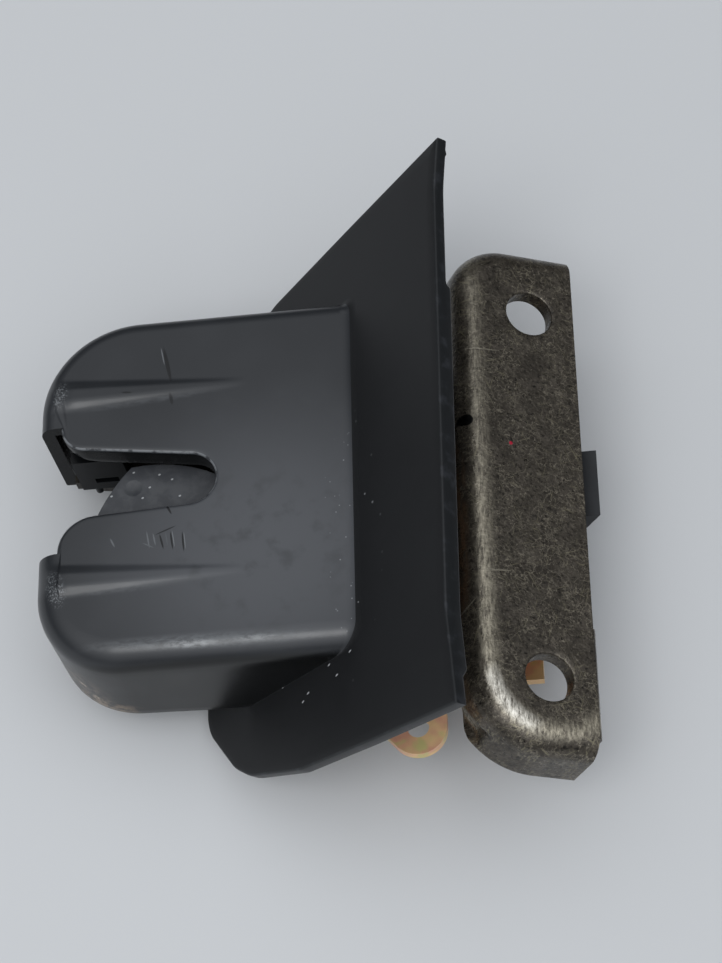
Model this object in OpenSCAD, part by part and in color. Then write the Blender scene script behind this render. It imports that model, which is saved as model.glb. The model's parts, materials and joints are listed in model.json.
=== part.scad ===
// Tailgate latch of a car: a moulded cover with a striker mouth, a rotary claw and pawl between two
// steel plates, and a pressed steel bracket that bolts the latch to the tailgate.
// Millimetres. The origin is the seated striker bar's axis, in the plane of the cover's top face.
// +X runs from the nose to the bracket, +Y across the latch, +Z out of the top face along the pivots.

/* [Cover] */
// Striker's axis to the front of the nose
nose_reach = 27.6; // [27:0.2:28.2]
// Striker's axis to the line where the top face meets the flange
junction_reach = 31.2; // [30:0.2:33]
// Mouth centre line to the hood's side on +Y
hood_plus_y = 35; // [34.6:0.2:36]
// Mouth centre line to the hood's side on -Y
hood_minus_y = 36; // [35.8:0.2:38]
// Corner radius of the nose on +Y, seen from above
plus_y_corner_r = 18.5; // [16:0.5:19]
// Corner radius of the nose on -Y, seen from above
minus_y_corner_r = 16; // [14:0.5:17]
// Round edge between the top face and the side on +Y
plus_y_edge_r = 3; // [2.4:0.2:3.4]
// Round edge between the top face and the side on -Y
minus_y_edge_r = 4.8; // [4:0.2:5.2]
// Wall thickness of the hood
cover_wall = 2.5; // [2:0.1:2.8]
// Depth of the nose wall below the top face
nose_depth = 22; // [20:0.5:22.5]
// Depth of the side walls below the top face
side_depth = 23.5; // [22.5:0.5:24]
// Height of the two tapered ribs at the nose
rib_height = 1.5; // [1:0.1:2]

/* [Mouth] */
// Striker's axis to the centre of the mouth's round end
mouth_end = 0.7; // [0.5:0.1:0.9]
// Front of the nose to the front ends of the mouth's flares
lip_setback = 4.2; // [4:0.1:4.4]
// Radius of the mouth's round end
mouth_r = 5.1; // [4.8:0.1:5.4]
// Corner radius where the mouth opens on +Y
mouth_flare_plus_y = 5; // [4.5:0.25:5.5]
// Corner radius where the mouth opens on -Y
mouth_flare_minus_y = 7; // [6.5:0.25:7.5]
// Depth of the turned-down collar round the mouth
collar_depth = 4.8; // [4:0.2:4.8]
// Wall thickness of the collar
collar_wall = 1.5; // [1.2:0.1:1.8]

/* [Flange] */
// Slope of the flange against the top face
flange_slope = 45; // [44:1:46]
// Thickness of the flange
flange_t = 2.4; // [2:0.1:2.6]
// Junction line to the rim, up the slope
flange_up = 25.6; // [24.6:0.2:27]
// Extra thickness of the bead along the rim's back
rim_bead = 1; // [0.8:0.1:1.2]
// Junction line to the bottom edge, down the slope
flange_down = 47; // [46:0.5:48]
// Rim corner on +Y, from the centre line
rim_plus_y = 55.8; // [53:0.2:58]
// Rim corner on -Y, from the centre line
rim_minus_y = 56.6; // [54:0.2:59]

/* [Bracket] */
// Tilt of the bracket's face against the cover's top face
bracket_tilt = 27; // [26:0.5:28]
// Place of the bracket's reference line along X
bracket_x = 48; // [47.5:0.5:50]
// Height of the bracket's reference line
bracket_z = -8; // [-8.5:0.25:-7]
// Centre line to the bracket's end on +Y
bracket_plus_y = 52.7; // [51.5:0.2:54]
// Centre line to the bracket's end on -Y
bracket_minus_y = 51.8; // [51:0.2:53]
// Reference line to the bracket's turned-down front wall
bracket_front = 2.5; // [2.5:0.1:3]
// Reference line to the cut rear edge
bracket_rear = 26.4; // [26:0.2:28]
// Steel sheet thickness of the bracket
bracket_sheet = 3.2; // [3:0.1:3.4]
// Depth of the turned-down walls
bracket_wall_depth = 13; // [12:0.2:13.4]
// Outside radius of the bracket's bends
bracket_bend_r = 4.5; // [4:0.25:5]
// Hole spacing for the two fixing bolts
bolt_spacing = 75.8; // [74:0.2:78]
// Reference line to the fixing bolts
bolt_line = 17.4; // [16.8:0.2:18]
// Diameter of the bolt holes
bolt_hole_d = 9.2; // [8.4:0.2:9.6]

/* [Latch frame] */
// Top of the upper latch plate, below the cover's top face
upper_plate_z = -4.9; // [-5:0.1:-4.9]
// Thickness of the upper latch plate
upper_plate_t = 1.8; // [1.6:0.1:2]
// Top of the base plate
base_plate_z = -15.5; // [-15.8:0.1:-15.4]
// Thickness of the base plate
base_plate_t = 2.5; // [2.2:0.1:2.6]
// Thickness of the actuator plate
actuator_plate_t = 2; // [1.6:0.1:2.2]

/* [Claw] */
// Claw pivot along X
claw_x = 4; // [3.8:0.1:4.2]
// Claw pivot along Y
claw_y = -16; // [-16.2:0.1:-15.8]
// Diameter of the claw's pivot pin
claw_pin_d = 9; // [8:0.25:9.5]
// Turn of the claw from open to latched
claw_turn = 64; // [63:1:66]
// Diameter of the striker bar that the notch takes
striker_d = 8; // [7.5:0.25:8]
// Radius of the rim that the pawl rides on
rim_r = 16; // [15.8:0.1:16]
// Depth of the two pawl recesses below that rim
recess_depth = 3.8; // [3.6:0.1:3.9]
// Thickness of the claw's steel core
claw_core_t = 5; // [4:0.25:5.5]
// Plastic over the core's faces and edges
jacket_skin = 1; // [0.8:0.1:1.2]

/* [Pawl] */
// Pawl pivot along X
pawl_x = 31; // [31:0.1:31.6]
// Pawl pivot along Y
pawl_y = 2; // [1.8:0.1:2.2]
// Diameter of the pawl's pivot pin
pawl_pin_d = 8; // [7:0.25:8.5]
// Pawl's turn from its recess to clear of the rim
pawl_engage = 8; // [7.8:0.1:8.2]
// Thickness of the pawl
pawl_t = 6; // [5:0.25:6.5]

/* [Release] */
// Release lever's pivot along X
release_x = 28; // [27.8:0.1:28.2]
// Release lever's pivot along Y
release_y = -31; // [-31.2:0.1:-30.8]
// Rod eye along X
rod_eye_x = 39.3; // [38.5:0.1:40]
// Rod eye along Y
rod_eye_y = -44.5; // [-45.5:0.1:-44]
// Diameter of the rod eye
rod_eye_d = 4; // [3.5:0.25:5]
// Thickness of the release lever
release_t = 2; // [1.6:0.1:2.2]
// Diameter of the drive pin between lever, pawl and actuator rod
drive_pin_d = 4; // [3:0.25:4]

/* [Actuator] */
// Front of the actuator housing along X
actuator_x = 46; // [45:0.5:47]
// Length of the actuator housing along X
actuator_length = 21.5; // [21:0.5:22]
// Side of the actuator housing on -Y
actuator_minus_y = 17; // [16.5:0.25:17.5]
// Side of the actuator housing on +Y
actuator_plus_y = 21; // [20:0.5:24]
// Underside of the actuator housing
actuator_bottom = -46; // [-48:0.5:-44]
// Reach of the connector past the housing
connector_reach = 6.5; // [6:0.25:8]
// Width of the connector
connector_w = 13.8; // [13:0.2:14.2]

/* [Fits] */
// Radial clearance of a turning joint
running_gap = 0.05; // [0.02:0.01:0.1]
// Radial clearance of a fixed pin or rivet
fixed_gap = 0.02; // [0.01:0.01:0.04]
// Clearance between parts that pass each other
pass_gap = 0.3; // [0.2:0.05:0.4]

/* [Hidden] */
$fn = 48;
hull_fn = 32;
far = 200;

plastic_charcoal = "#45474b";
plastic_black = "#1b1c1e";
steel_dark = "#3b3834";
steel_bright = "#8d8f90";
zinc_yellow = "#c9a66b";
rubber_black = "#202020";
spring_steel = "#77797a";
contact_tin = "#b8b9b5";

mouth_lip = nose_reach - lip_setback;
mouth_gap_low = -13.3;
mouth_gap_w = 26;
base_plate_bottom = base_plate_z - base_plate_t;
upper_plate_bottom = upper_plate_z - upper_plate_t;
claw_top = upper_plate_bottom - pass_gap;
claw_bottom = base_plate_z + pass_gap + 0.3;
claw_mid = (claw_top + claw_bottom) / 2;
hub_r = rim_r - recess_depth;
foot_x = 36.6;
foot_bottom = base_plate_bottom - bracket_sheet;
actuator_plate_bottom = foot_bottom - actuator_plate_t;
release_top = base_plate_bottom - 0.5;
release_bottom = release_top - release_t;
drive_arm = 12;
drive_x = release_x + 0.7;
drive_y = release_y + drive_arm;
rod_z = actuator_plate_bottom - 2.6;
rod_y = drive_y + 7;
lid_t = 2;
pawl_top = claw_mid + pawl_t / 2;

// Point at radius r and angle a about the origin
function polar(r, a) = [r * cos(a), r * sin(a)];

// Pie slice of radius r from angle a to angle b, less than half a turn
module slice(r, a, b) {
    reach = r / cos((b - a) / 4) + 1;
    mid = (a + b) / 2;
    intersection() {
        circle(r);
        polygon([[0, 0], polar(reach, a), polar(reach, mid), polar(reach, b)]);
    }
}

// Upright cylinder between two heights
module post(x, y, low, high, d) {
    translate([x, y, low]) cylinder(h = high - low, d = d);
}

// Flat sheet between two heights from a plan
module sheet(low, high) {
    translate([0, 0, low]) linear_extrude(high - low) children();
}

// Plan of the hood, set in from its outside by inset, running back to rear
module hood_plan(inset, rear) {
    front = -nose_reach + inset;
    high = hood_plus_y - inset;
    low = -hood_minus_y + inset;
    high_r = plus_y_corner_r - inset;
    low_r = minus_y_corner_r - inset;
    translate([front + high_r, high - high_r]) circle(high_r);
    translate([front + low_r, low + low_r]) circle(low_r);
    polygon([[front, low + low_r], [front + low_r, low], [rear, low],
        [rear, high], [front + high_r, high], [front, high - high_r]]);
}

// Plan of the striker mouth, made larger all round by grow
module mouth_plan(grow) {
    lip_x = -mouth_lip;
    high = mouth_r + 2.6 + grow;
    low = -mouth_r - 0.8 - grow;
    high_r = mouth_flare_plus_y - grow;
    low_r = mouth_flare_minus_y - grow;
    high_c = [lip_x + mouth_flare_plus_y, mouth_r + 2.6 + mouth_flare_plus_y];
    low_c = [lip_x + mouth_flare_minus_y, -mouth_r - 0.8 - mouth_flare_minus_y];
    translate([mouth_end, 0]) circle(mouth_r + grow);
    polygon([[mouth_end, mouth_r + grow], [high_c[0], high], [lip_x, high], [lip_x, low],
        [low_c[0], low], [mouth_end, -mouth_r - grow]]);
    difference() {
        translate([lip_x, high]) square([high_c[0] - lip_x, high_r]);
        translate(high_c) circle(high_r);
    }
    difference() {
        translate([lip_x, low_c[1]]) square([low_c[0] - lip_x, low_r]);
        translate(low_c) circle(low_r);
    }
}

// One round pillar of radius r with its top edge rounded by edge
module pillar(x, y, r, bottom, edge) {
    translate([x, y, 0]) rotate_extrude($fn = hull_fn) {
        translate([0, bottom]) square([r, -bottom - edge]);
        translate([0, -edge - 0.1]) square([r - edge, edge + 0.1]);
        intersection() {
            translate([r - edge, -edge]) circle(edge);
            translate([0, -edge - 0.1]) square([r, edge + 0.1]);
        }
    }
}

// Solid outside form of the hood, before it is cut at the flange
module hood_form() {
    rear = junction_reach + 20;
    bottom = -side_depth - 12;
    plus_r = plus_y_edge_r + 0.5;
    minus_r = minus_y_edge_r + 0.5;
    hull() {
        pillar(plus_y_corner_r - nose_reach, hood_plus_y - plus_y_corner_r, plus_y_corner_r, bottom,
            plus_y_edge_r);
        pillar(minus_y_corner_r - nose_reach, minus_y_corner_r - hood_minus_y, minus_y_corner_r, bottom,
            minus_y_edge_r);
        pillar(rear, hood_plus_y - plus_r, plus_r, bottom, plus_y_edge_r);
        pillar(rear, minus_r - hood_minus_y, minus_r, bottom, minus_y_edge_r);
    }
}

// Puts a shape drawn flat in the flange's own plane: first axis up the slope, second along Y
module on_flange() {
    translate([junction_reach, 0, 0]) rotate([0, -flange_slope, 0]) children();
}

// Outline of the flange, first axis up the slope
module flange_plan() {
    bend = -10;
    corner_r = 9;
    side = [[-24.5, 46.1], [-36, 41], [-flange_down, 30], [-flange_down, -36], [-38, -46.4],
        [-33, -49.6], [-17.6, -53.6], [2.9, -55.2]];
    offset(corner_r) offset(-corner_r) polygon(concat([[0, 50.8]], side, [[0, -55.4]]));
    polygon([[bend, 48.9], [bend, -54.2], [2.9, -55.2], [flange_up + 1, -rim_minus_y],
        [flange_up - 0.8, 18 - rim_minus_y], [flange_up + 0.4, rim_plus_y - 10],
        [flange_up + 1.8, rim_plus_y]]);
}

// Strip along the back of the rim where the flange is thicker
module rim_strip() {
    width = 2.2;
    intersection() {
        difference() {
            flange_plan();
            translate([-width, 0]) flange_plan();
        }
        translate([flange_up / 2, 6 - rim_minus_y]) square([flange_up, 75]);
    }
}

// Centre lines of the two ribs across the latch, and their shared size
rib_places = [19.3, -19.1];
rib_w = 6.2;
rib_length = 31;

// Rib that stands wide at the nose and fades out along the top face
module top_rib(y) {
    x = 1.5 - mouth_lip;
    hull() {
        translate([x, y, -1]) scale([1.4, rib_w / 2, rib_height + 1]) sphere(1, $fn = 20);
        translate([x + rib_length, y, -1]) sphere(0.9, $fn = 12.1);
    }
}

// Places of the three screws that hold the cover to the base plate
cover_screw_places = [[-14, 22], [13, 28.3], [-8.5, -29.5]];
screw_boss_d = 5.2;
cover_screw_d = 2.2;

module cover() {
    color(plastic_charcoal) difference() {
        union() {
            difference() {
                intersection() {
                    hood_form();
                    on_flange() translate([-far, -far, -0.5]) cube([2 * far, 2 * far, far]);
                }
                translate([0, 0, -far]) sheet(0, far - nose_depth)
                    translate([-far, -far]) square([far - nose_reach + cover_wall + 1, 2 * far]);
                translate([0, far, 0]) rotate([90, 0, 0]) linear_extrude(2 * far)
                    polygon([[-nose_reach - 1, -nose_depth], [-nose_reach + cover_wall, -nose_depth],
                        [-12, 0.7 - side_depth], [0, -side_depth], [far, -side_depth],
                        [far, -far], [-nose_reach - 1, -far]]);
            }
            on_flange() translate([0, 0, -flange_t]) linear_extrude(flange_t) flange_plan();
            on_flange() translate([0, 0, -flange_t - rim_bead]) linear_extrude(rim_bead + 0.5) rim_strip();
            for (y = rib_places) top_rib(y);
        }
        difference() {
            sheet(1 - side_depth - 2, -cover_wall) hood_plan(cover_wall, junction_reach + 25);
            for (p = cover_screw_places) post(p[0], p[1], base_plate_z, 0, screw_boss_d);
            sheet(-collar_depth, 0) intersection() {
                mouth_plan(collar_wall);
                translate([-mouth_lip, -far]) square([far, 2 * far]);
            }
        }
        sheet(-far, 5) mouth_plan(0);
        sheet(-far, 5) translate([-mouth_lip - 10, mouth_gap_low]) square([10, mouth_gap_w]);
        translate([-mouth_lip, mouth_gap_low, -collar_depth - 1]) rotate([0, 50, 0])
            translate([-8, 0, -8]) cube([8, mouth_gap_w, 8.6]);
        for (p = cover_screw_places) post(p[0], p[1], base_plate_z - 1, -5, cover_screw_d);
    }
}

// Puts a shape drawn in the bracket's own frame: first axis down its slope, second along Y
module on_bracket() {
    translate([bracket_x, 0, bracket_z]) rotate([0, bracket_tilt, 0]) children();
}

// Pressed pan of the bracket, set in by inset, with walls reaching down by drop
module bracket_form(inset, drop) {
    front = bracket_front + inset;
    high = bracket_plus_y - inset;
    low = inset - bracket_minus_y;
    rear = bracket_rear + 20;
    plus_r = 11 - inset;
    minus_r = 16 - inset;
    edge = bracket_bend_r - inset;
    hull() {
        pillar(front + plus_r, high - plus_r, plus_r, -drop, edge);
        pillar(front + minus_r, low + minus_r, minus_r, -drop, edge);
        pillar(rear, high - edge - 0.2, edge + 0.2, -drop, edge);
        pillar(rear, low + edge + 0.2, edge + 0.2, -drop, edge);
    }
}

bracket_rivet_places = [[41, -24], [41, 0], [41, 24.5]];
bracket_rivet_d = 4;
foot_half = 27;

module mounting_bracket() {
    lip_drop = 9;
    color(steel_dark) difference() {
        union() {
            on_bracket() difference() {
                bracket_form(0, bracket_wall_depth);
                translate([0, 0, -bracket_sheet])
                    bracket_form(bracket_sheet, bracket_wall_depth + 5);
                translate([bracket_rear, -far, -far]) cube([far, 2 * far, 2 * far]);
            }
            on_bracket() translate([bracket_rear - 0.1, -48.5, -lip_drop]) cube([1.1, 21.5, lip_drop - 0.6]);
            translate([0, foot_half, 0]) rotate([90, 0, 0]) linear_extrude(2 * foot_half)
                polygon([[foot_x, foot_bottom], [foot_x, base_plate_bottom],
                    [bracket_x - 2.3, base_plate_bottom], [bracket_x - 0.6, base_plate_bottom - 2],
                    [bracket_x - 1.2, foot_bottom]]);
        }
        for (side = [-1, 1]) on_bracket()
            translate([bolt_line, side * bolt_spacing / 2, -far / 2]) cylinder(h = far, d = bolt_hole_d);
        on_bracket() translate([bracket_front + 1.4, 13, -8]) cylinder(h = 20, d = 2.5);
        translate([foot_x, -foot_half - pass_gap, foot_bottom - 20]) cube([20, 2 * foot_half + 2.8, 20]);
        sheet(release_bottom - pass_gap, release_top + pass_gap)
            for (turn = [0, -4, -8, -12, -16]) about_release(turn) release_lug(pass_gap);
        for (p = bracket_rivet_places)
            post(p[0], p[1], foot_bottom - 1, base_plate_bottom + 1, bracket_rivet_d + 2 * fixed_gap);
    }
}

// Fastening places shared by the plates
spacer_places = [[-4, 22], [22, 22]];
spacer_pin_d = 4;
claw_journal_d = claw_pin_d - 3;
pawl_journal_d = pawl_pin_d - 3;
release_pin_d = 6.4;
release_journal_d = 5;
switch_y = 13;
switch_x = 37.2;
switch_screw_places = [[40.5, 9.2], [40.5, 18.2]];
switch_screw_d = 2;

module base_plate() {
    inside = cover_wall + 0.8;
    high = hood_plus_y - inside;
    low = -hood_minus_y + inside;
    flange_back = junction_reach + base_plate_z + flange_t * sqrt(2) + 0.8;
    color(steel_dark) difference() {
        sheet(base_plate_bottom, base_plate_z) difference() {
            union() {
                hood_plan(inside, 16);
                polygon([[12, low], [flange_back, low], [flange_back, low - 3.8], [33, low - 3.8],
                    [44, -27], [44, 28.3], [36, high], [12, high]]);
            }
            mouth_plan(0.8);
            translate([-nose_reach, -12.5]) square([6, 22]);
            translate([22.6, drive_y - 3.2]) square([9.8, 6.4]);
        }
        post(claw_x, claw_y, -far, 0, claw_journal_d + 2 * fixed_gap);
        post(pawl_x, pawl_y, -far, 0, pawl_journal_d + 2 * fixed_gap);
        post(release_x, release_y, -far, 0, release_journal_d + 2 * fixed_gap);
        for (p = spacer_places) post(p[0], p[1], -far, 0, spacer_pin_d + 2 * fixed_gap);
        for (p = bracket_rivet_places) post(p[0], p[1], -far, 0, bracket_rivet_d + 2 * fixed_gap);
        for (p = cover_screw_places) post(p[0], p[1], -far, 0, cover_screw_d + 0.4);
        for (p = switch_screw_places) post(p[0], p[1], -far, 0, switch_screw_d + 2 * fixed_gap);
        post(stop_x, stop_y, -far, 0, 3 + 2 * fixed_gap);
        for (p = buffer_pegs) post(p[0], p[1], -far, 0, buffer_peg_d + 2 * fixed_gap);
        for (p = guide_pegs) post(p[0], p[1], -far, 0, guide_peg_d + 2 * fixed_gap);
    }
}

module upper_plate() {
    color(steel_bright) difference() {
        sheet(upper_plate_bottom, upper_plate_z) difference() {
            polygon([[-8, -23], [-4, -26.5], [12, -26.5], [38.5, -6], [38.5, 9], [27, 25.5], [-9, 25.5],
                [-9, 14], [-8, 12]]);
            mouth_plan(collar_wall + 0.6);
        }
        post(claw_x, claw_y, -far, 0, claw_journal_d + 2 * fixed_gap);
        post(pawl_x, pawl_y, -far, 0, pawl_journal_d + 2 * fixed_gap);
        for (p = spacer_places) post(p[0], p[1], -far, 0, spacer_pin_d + 2 * fixed_gap);
        for (p = cover_screw_places) post(p[0], p[1], -far, 0, screw_boss_d + 1);
    }
}

actuator_screw_places = [[bracket_x + 10, -5], [bracket_x + 7, 14]];
actuator_screw_d = 3;

module actuator_plate() {
    rear = bracket_x + 13.5;
    tab_x = rear - 11.5;
    tab_bottom = actuator_plate_bottom - 8.8;
    tab_reach = foot_half + 5;
    color(zinc_yellow) difference() {
        union() {
            sheet(actuator_plate_bottom, foot_bottom)
                polygon([[foot_x, -foot_half], [rear, -foot_half], [rear, 24], [rear - 6.5, 29], [foot_x, 29]]);
            translate([tab_x, -foot_half, tab_bottom])
                cube([rear - tab_x, actuator_plate_t, foot_bottom - tab_bottom]);
            translate([tab_x, -tab_reach, tab_bottom])
                cube([rear - tab_x, tab_reach - foot_half + actuator_plate_t, actuator_plate_t]);
        }
        for (p = bracket_rivet_places) post(p[0], p[1], -far, 0, bracket_rivet_d + 2 * fixed_gap);
        for (p = actuator_screw_places) post(p[0], p[1], -far, 0, actuator_screw_d + 2 * fixed_gap);
    }
}

// Puts a shape drawn about the claw's pivot in its open position
module at_claw() {
    translate([claw_x, claw_y, 0]) children();
}

// Seat of the striker in the notch, in polar form about the claw's pivot when latched
seat_r = norm([claw_x, claw_y]);
seat_angle = atan2(-claw_y, -claw_x);
notch_tilt = -4;
notch_r = striker_d / 2 + pass_gap;
prong_w = hub_r - notch_r + seat_r * sin(notch_tilt);

// Plan of the claw about its pivot, open, set in by inset
module claw_plan(inset) {
    tip_c = [9.5, -0.1];
    back_c = [-11.87, -2.94];
    difference() {
        union() {
            circle(hub_r - inset);
            slice(rim_r - inset, -1, 38);
            intersection() {
                translate(tip_c) circle(34 - inset);
                translate(back_c) circle(26.15 - inset);
                polygon([[0, 0], polar(60, 84 + inset), polar(60, 140), polar(60, 185)]);
            }
            translate(polar(seat_r, seat_angle + claw_turn)) rotate(seat_angle + notch_tilt + claw_turn) {
                translate([-seat_r, notch_r]) square([5 + seat_r, prong_w - inset]);
                translate([5, notch_r + prong_w / 2]) circle(prong_w / 2 - inset);
            }
            slice(15 - inset, 150, 212);
        }
        translate(polar(seat_r, seat_angle + claw_turn)) rotate(seat_angle + notch_tilt + claw_turn) {
            circle(notch_r + inset);
            translate([0, -notch_r - inset]) square([30, 2 * notch_r + 2 * inset]);
        }
    }
}

// Part of the claw's plan that carries the plastic jacket
module jacket_zone() {
    slice(40, 72, 145);
    slice(40, 144, 216);
}

// Plan of the steel core: bare at the rim and recesses, under the plastic skin elsewhere
module claw_core_plan() {
    claw_plan(jacket_skin);
    difference() {
        claw_plan(0);
        jacket_zone();
    }
}

module claw_core() {
    color(steel_bright) at_claw() difference() {
        sheet(claw_mid - claw_core_t / 2, claw_mid + claw_core_t / 2) claw_core_plan();
        post(0, 0, -far, 0, claw_pin_d + 2 * running_gap);
    }
}

module claw_jacket() {
    color("#3d3f41") at_claw() difference() {
        sheet(claw_bottom, claw_top) intersection() {
            claw_plan(0);
            jacket_zone();
        }
        sheet(claw_mid - claw_core_t / 2, claw_mid + claw_core_t / 2) claw_core_plan();
        post(0, 0, -far, 0, claw_pin_d + 0.8);
        translate([-15, 18.6, claw_top + 4.7]) sphere(5, $fn = 40);
    }
}

// Rivet pin: two journals in the plates, a running length between them and a head at each end
module plate_pin(x, y, pin_d, journal_d) {
    head = 1.1;
    post(x, y, base_plate_z, upper_plate_bottom, pin_d);
    post(x, y, base_plate_bottom - head, upper_plate_z + head, journal_d);
    post(x, y, upper_plate_z, upper_plate_z + head, journal_d + 2);
    post(x, y, base_plate_bottom - head, base_plate_bottom, journal_d + 3);
}

module claw_pivot() {
    color(steel_bright) plate_pin(claw_x, claw_y, claw_pin_d, claw_journal_d);
}

// Torsion spring about an upright axis: round wire in a coil, with a straight leg at each end
module torsion_coil(coil_r, wire, low, leg_a, leg_b, leg_len) {
    pitch = wire + 0.2;
    steps = 30;
    sides = 8;
    sweep = leg_b - leg_a + 360;
    start = leg_a;
    stop = leg_a + sweep;
    base = low + wire / 2;
    rise = pitch * sweep / 360;
    coil = [for (i = [0 : steps]) let (a = start + sweep * i / steps)
        [coil_r * cos(a), coil_r * sin(a), base + rise * i / steps, a]];
    leg_in = [coil_r * cos(start) + leg_len * sin(start),
        coil_r * sin(start) - leg_len * cos(start), base, start];
    leg_out = [coil_r * cos(stop) - leg_len * sin(stop),
        coil_r * sin(stop) + leg_len * cos(stop), base + rise, stop];
    rows = concat([leg_in], coil, [leg_out]);
    last = len(rows) - 1;
    points = [for (p = rows) for (k = [0 : sides - 1])
        let (out = cos(360 * k / sides) * wire / 2, lift = sin(360 * k / sides) * wire / 2)
        [p[0] + out * cos(p[3]), p[1] + out * sin(p[3]), p[2] + lift]];
    skin = [for (i = [0 : last - 1]) for (k = [0 : sides - 1])
        let (n = (k + 1) % sides, a = i * sides, b = (i + 1) * sides)
        each [[a + n, b + n, b + k], [a + n, b + k, a + k]]];
    polyhedron(points, concat([[for (k = [sides - 1 : -1 : 0]) k]], skin,
        [[for (k = [0 : sides - 1]) last * sides + k]]));
}

module claw_spring() {
    color(spring_steel) translate([claw_x, claw_y, 0])
        torsion_coil(claw_journal_d / 2 + 2.3, 1.2, base_plate_bottom - 3.4, 200, 320, 5);
}

// Rubber stop that the claw's outer prong rests against when open
stop_r = 3;
stop_place = polar(seat_r, seat_angle + claw_turn)
    + polar(notch_r + prong_w + stop_r + pass_gap, seat_angle + notch_tilt + claw_turn + 90);
stop_x = claw_x + stop_place[0];
stop_y = claw_y + stop_place[1];

module claw_stop() {
    color(rubber_black) {
        post(stop_x, stop_y, base_plate_z, claw_top - 1, 2 * stop_r);
        post(stop_x, stop_y, base_plate_bottom, base_plate_z, 3);
        post(stop_x, stop_y, base_plate_bottom - 1, base_plate_bottom, 4.6);
    }
}

// Rubber block behind the mouth that catches the striker bar below the base plate
buffer_peg_d = 3;
buffer_x = mouth_end + mouth_r - 1;
buffer_pegs = [[buffer_x + 4.4, -4.5], [buffer_x + 4.4, 4.5]];

module striker_buffer() {
    color(rubber_black) {
        difference() {
            translate([buffer_x, -7, base_plate_bottom - 5]) cube([7, 14, 5]);
            post(mouth_end, 0, -far, 0, 2 * mouth_r + 0.4);
        }
        for (p = buffer_pegs) post(p[0], p[1], base_plate_bottom, base_plate_z, buffer_peg_d);
    }
}

// Plastic guide that lines the mouth on +Y between the two plates
guide_peg_d = 1.6;
guide_y = mouth_r + 2.7;
guide_w = 2.4;
guide_pegs = [[-16.5, guide_y + 1.2], [-20, guide_y + 1.2]];

module mouth_guide() {
    color(plastic_black) {
        difference() {
            translate([-22.6, guide_y, base_plate_z]) cube([9.6, guide_w, -collar_depth - 0.3 - base_plate_z]);
            translate([-19.5, guide_y - 1, base_plate_z + 2.4]) cube([4.5, 2, 1.6]);
        }
        for (p = guide_pegs) post(p[0], p[1], base_plate_bottom, base_plate_z + 0.5, guide_peg_d);
    }
}

// Turns a shape about the pawl's pivot, lifting the nose for positive angles
module about_pawl(angle) {
    translate([pawl_x, pawl_y, 0]) rotate(angle) translate([-pawl_x, -pawl_y, 0]) children();
}

// Turns a shape about the release lever's pivot, towards release for positive angles
module about_release(angle) {
    translate([release_x, release_y, 0]) rotate(-angle) translate([-release_x, -release_y, 0]) children();
}

// Plan of the pawl with its nose in the claw's recess
module pawl_plan() {
    nose_r = hub_r + 0.4;
    boss_r = pawl_pin_d / 2 + 2.5;
    c = [claw_x, claw_y];
    polygon([c + polar(nose_r, -24.4), c + polar(nose_r + 0.9, -7), c + polar(17.2, -3), [24.2, -13],
        [pawl_x - boss_r + 0.1, pawl_y - 1], [pawl_x + boss_r - 0.1, pawl_y - 1], [33.6, -8],
        [30.4, -18.5], [29, -23], c + polar(22, -24.4)]);
    translate([pawl_x, pawl_y]) circle(boss_r);
    translate([33, 13]) circle(3);
    polygon([[pawl_x - 5, pawl_y + 3], [30, 13], [36, 13], [pawl_x + 5.6, pawl_y + 3]]);
}

module pawl() {
    slot = drive_pin_d / 2 + pass_gap;
    color(steel_bright) difference() {
        sheet(claw_mid - pawl_t / 2, pawl_top) about_pawl(pawl_engage) pawl_plan();
        translate([drive_x - slot, drive_y - slot - 0.9, claw_bottom - 1])
            cube([2 * slot, 2 * slot + 1.1, claw_top - claw_bottom + 2]);
        post(pawl_x, pawl_y, -far, 0, pawl_pin_d + 2 * running_gap);
    }
}

module pawl_pivot() {
    color(steel_bright) plate_pin(pawl_x, pawl_y, pawl_pin_d, pawl_journal_d);
}

module pawl_spring() {
    color(spring_steel) translate([pawl_x, pawl_y, 0])
        torsion_coil(pawl_journal_d / 2 + 2.2, 1, base_plate_bottom - 3.2, 150, 260, 4.5);
}

// Plan of the lug round the rod eye, made larger all round by grow
lug_r = 5.2;
module release_lug(grow) {
    translate([rod_eye_x, rod_eye_y]) {
        circle(lug_r + grow);
        polygon([[0, -grow], [lug_r + grow, -grow], [lug_r + grow, 2.5 + grow], [0, lug_r + grow]]);
    }
}

// Plan of the release lever: rod eye, pivot boss and drive arm
module release_plan() {
    boss_r = 5.6;
    arm_r = 4;
    eye = [rod_eye_x, rod_eye_y];
    boss = [release_x, release_y];
    along = eye - boss;
    side = [-along[1], along[0]] / norm(along);
    release_lug(0);
    translate(boss) circle(boss_r);
    translate([drive_x, drive_y]) circle(arm_r);
    polygon([eye + side * lug_r, boss + side * boss_r, boss - side * boss_r, eye - side * lug_r]);
    polygon([[drive_x - arm_r, drive_y], [release_x - boss_r, release_y],
        [release_x + boss_r, release_y], [drive_x + arm_r, drive_y]]);
}

module release_lever() {
    color(zinc_yellow) difference() {
        sheet(release_bottom, release_top) release_plan();
        post(rod_eye_x, rod_eye_y, -far, 0, rod_eye_d);
        post(release_x, release_y, -far, 0, release_pin_d + 2 * running_gap);
        post(drive_x, drive_y, -far, 0, drive_pin_d + 2 * fixed_gap);
    }
}

module release_pivot() {
    color(steel_bright) {
        post(release_x, release_y, release_bottom - 0.1, base_plate_bottom, release_pin_d);
        post(release_x, release_y, release_bottom - 1.3, release_bottom - 0.1, release_pin_d + 3);
        post(release_x, release_y, base_plate_bottom, base_plate_z + 1, release_journal_d);
        post(release_x, release_y, base_plate_z, base_plate_z + 1, release_journal_d + 2.4);
    }
}

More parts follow.
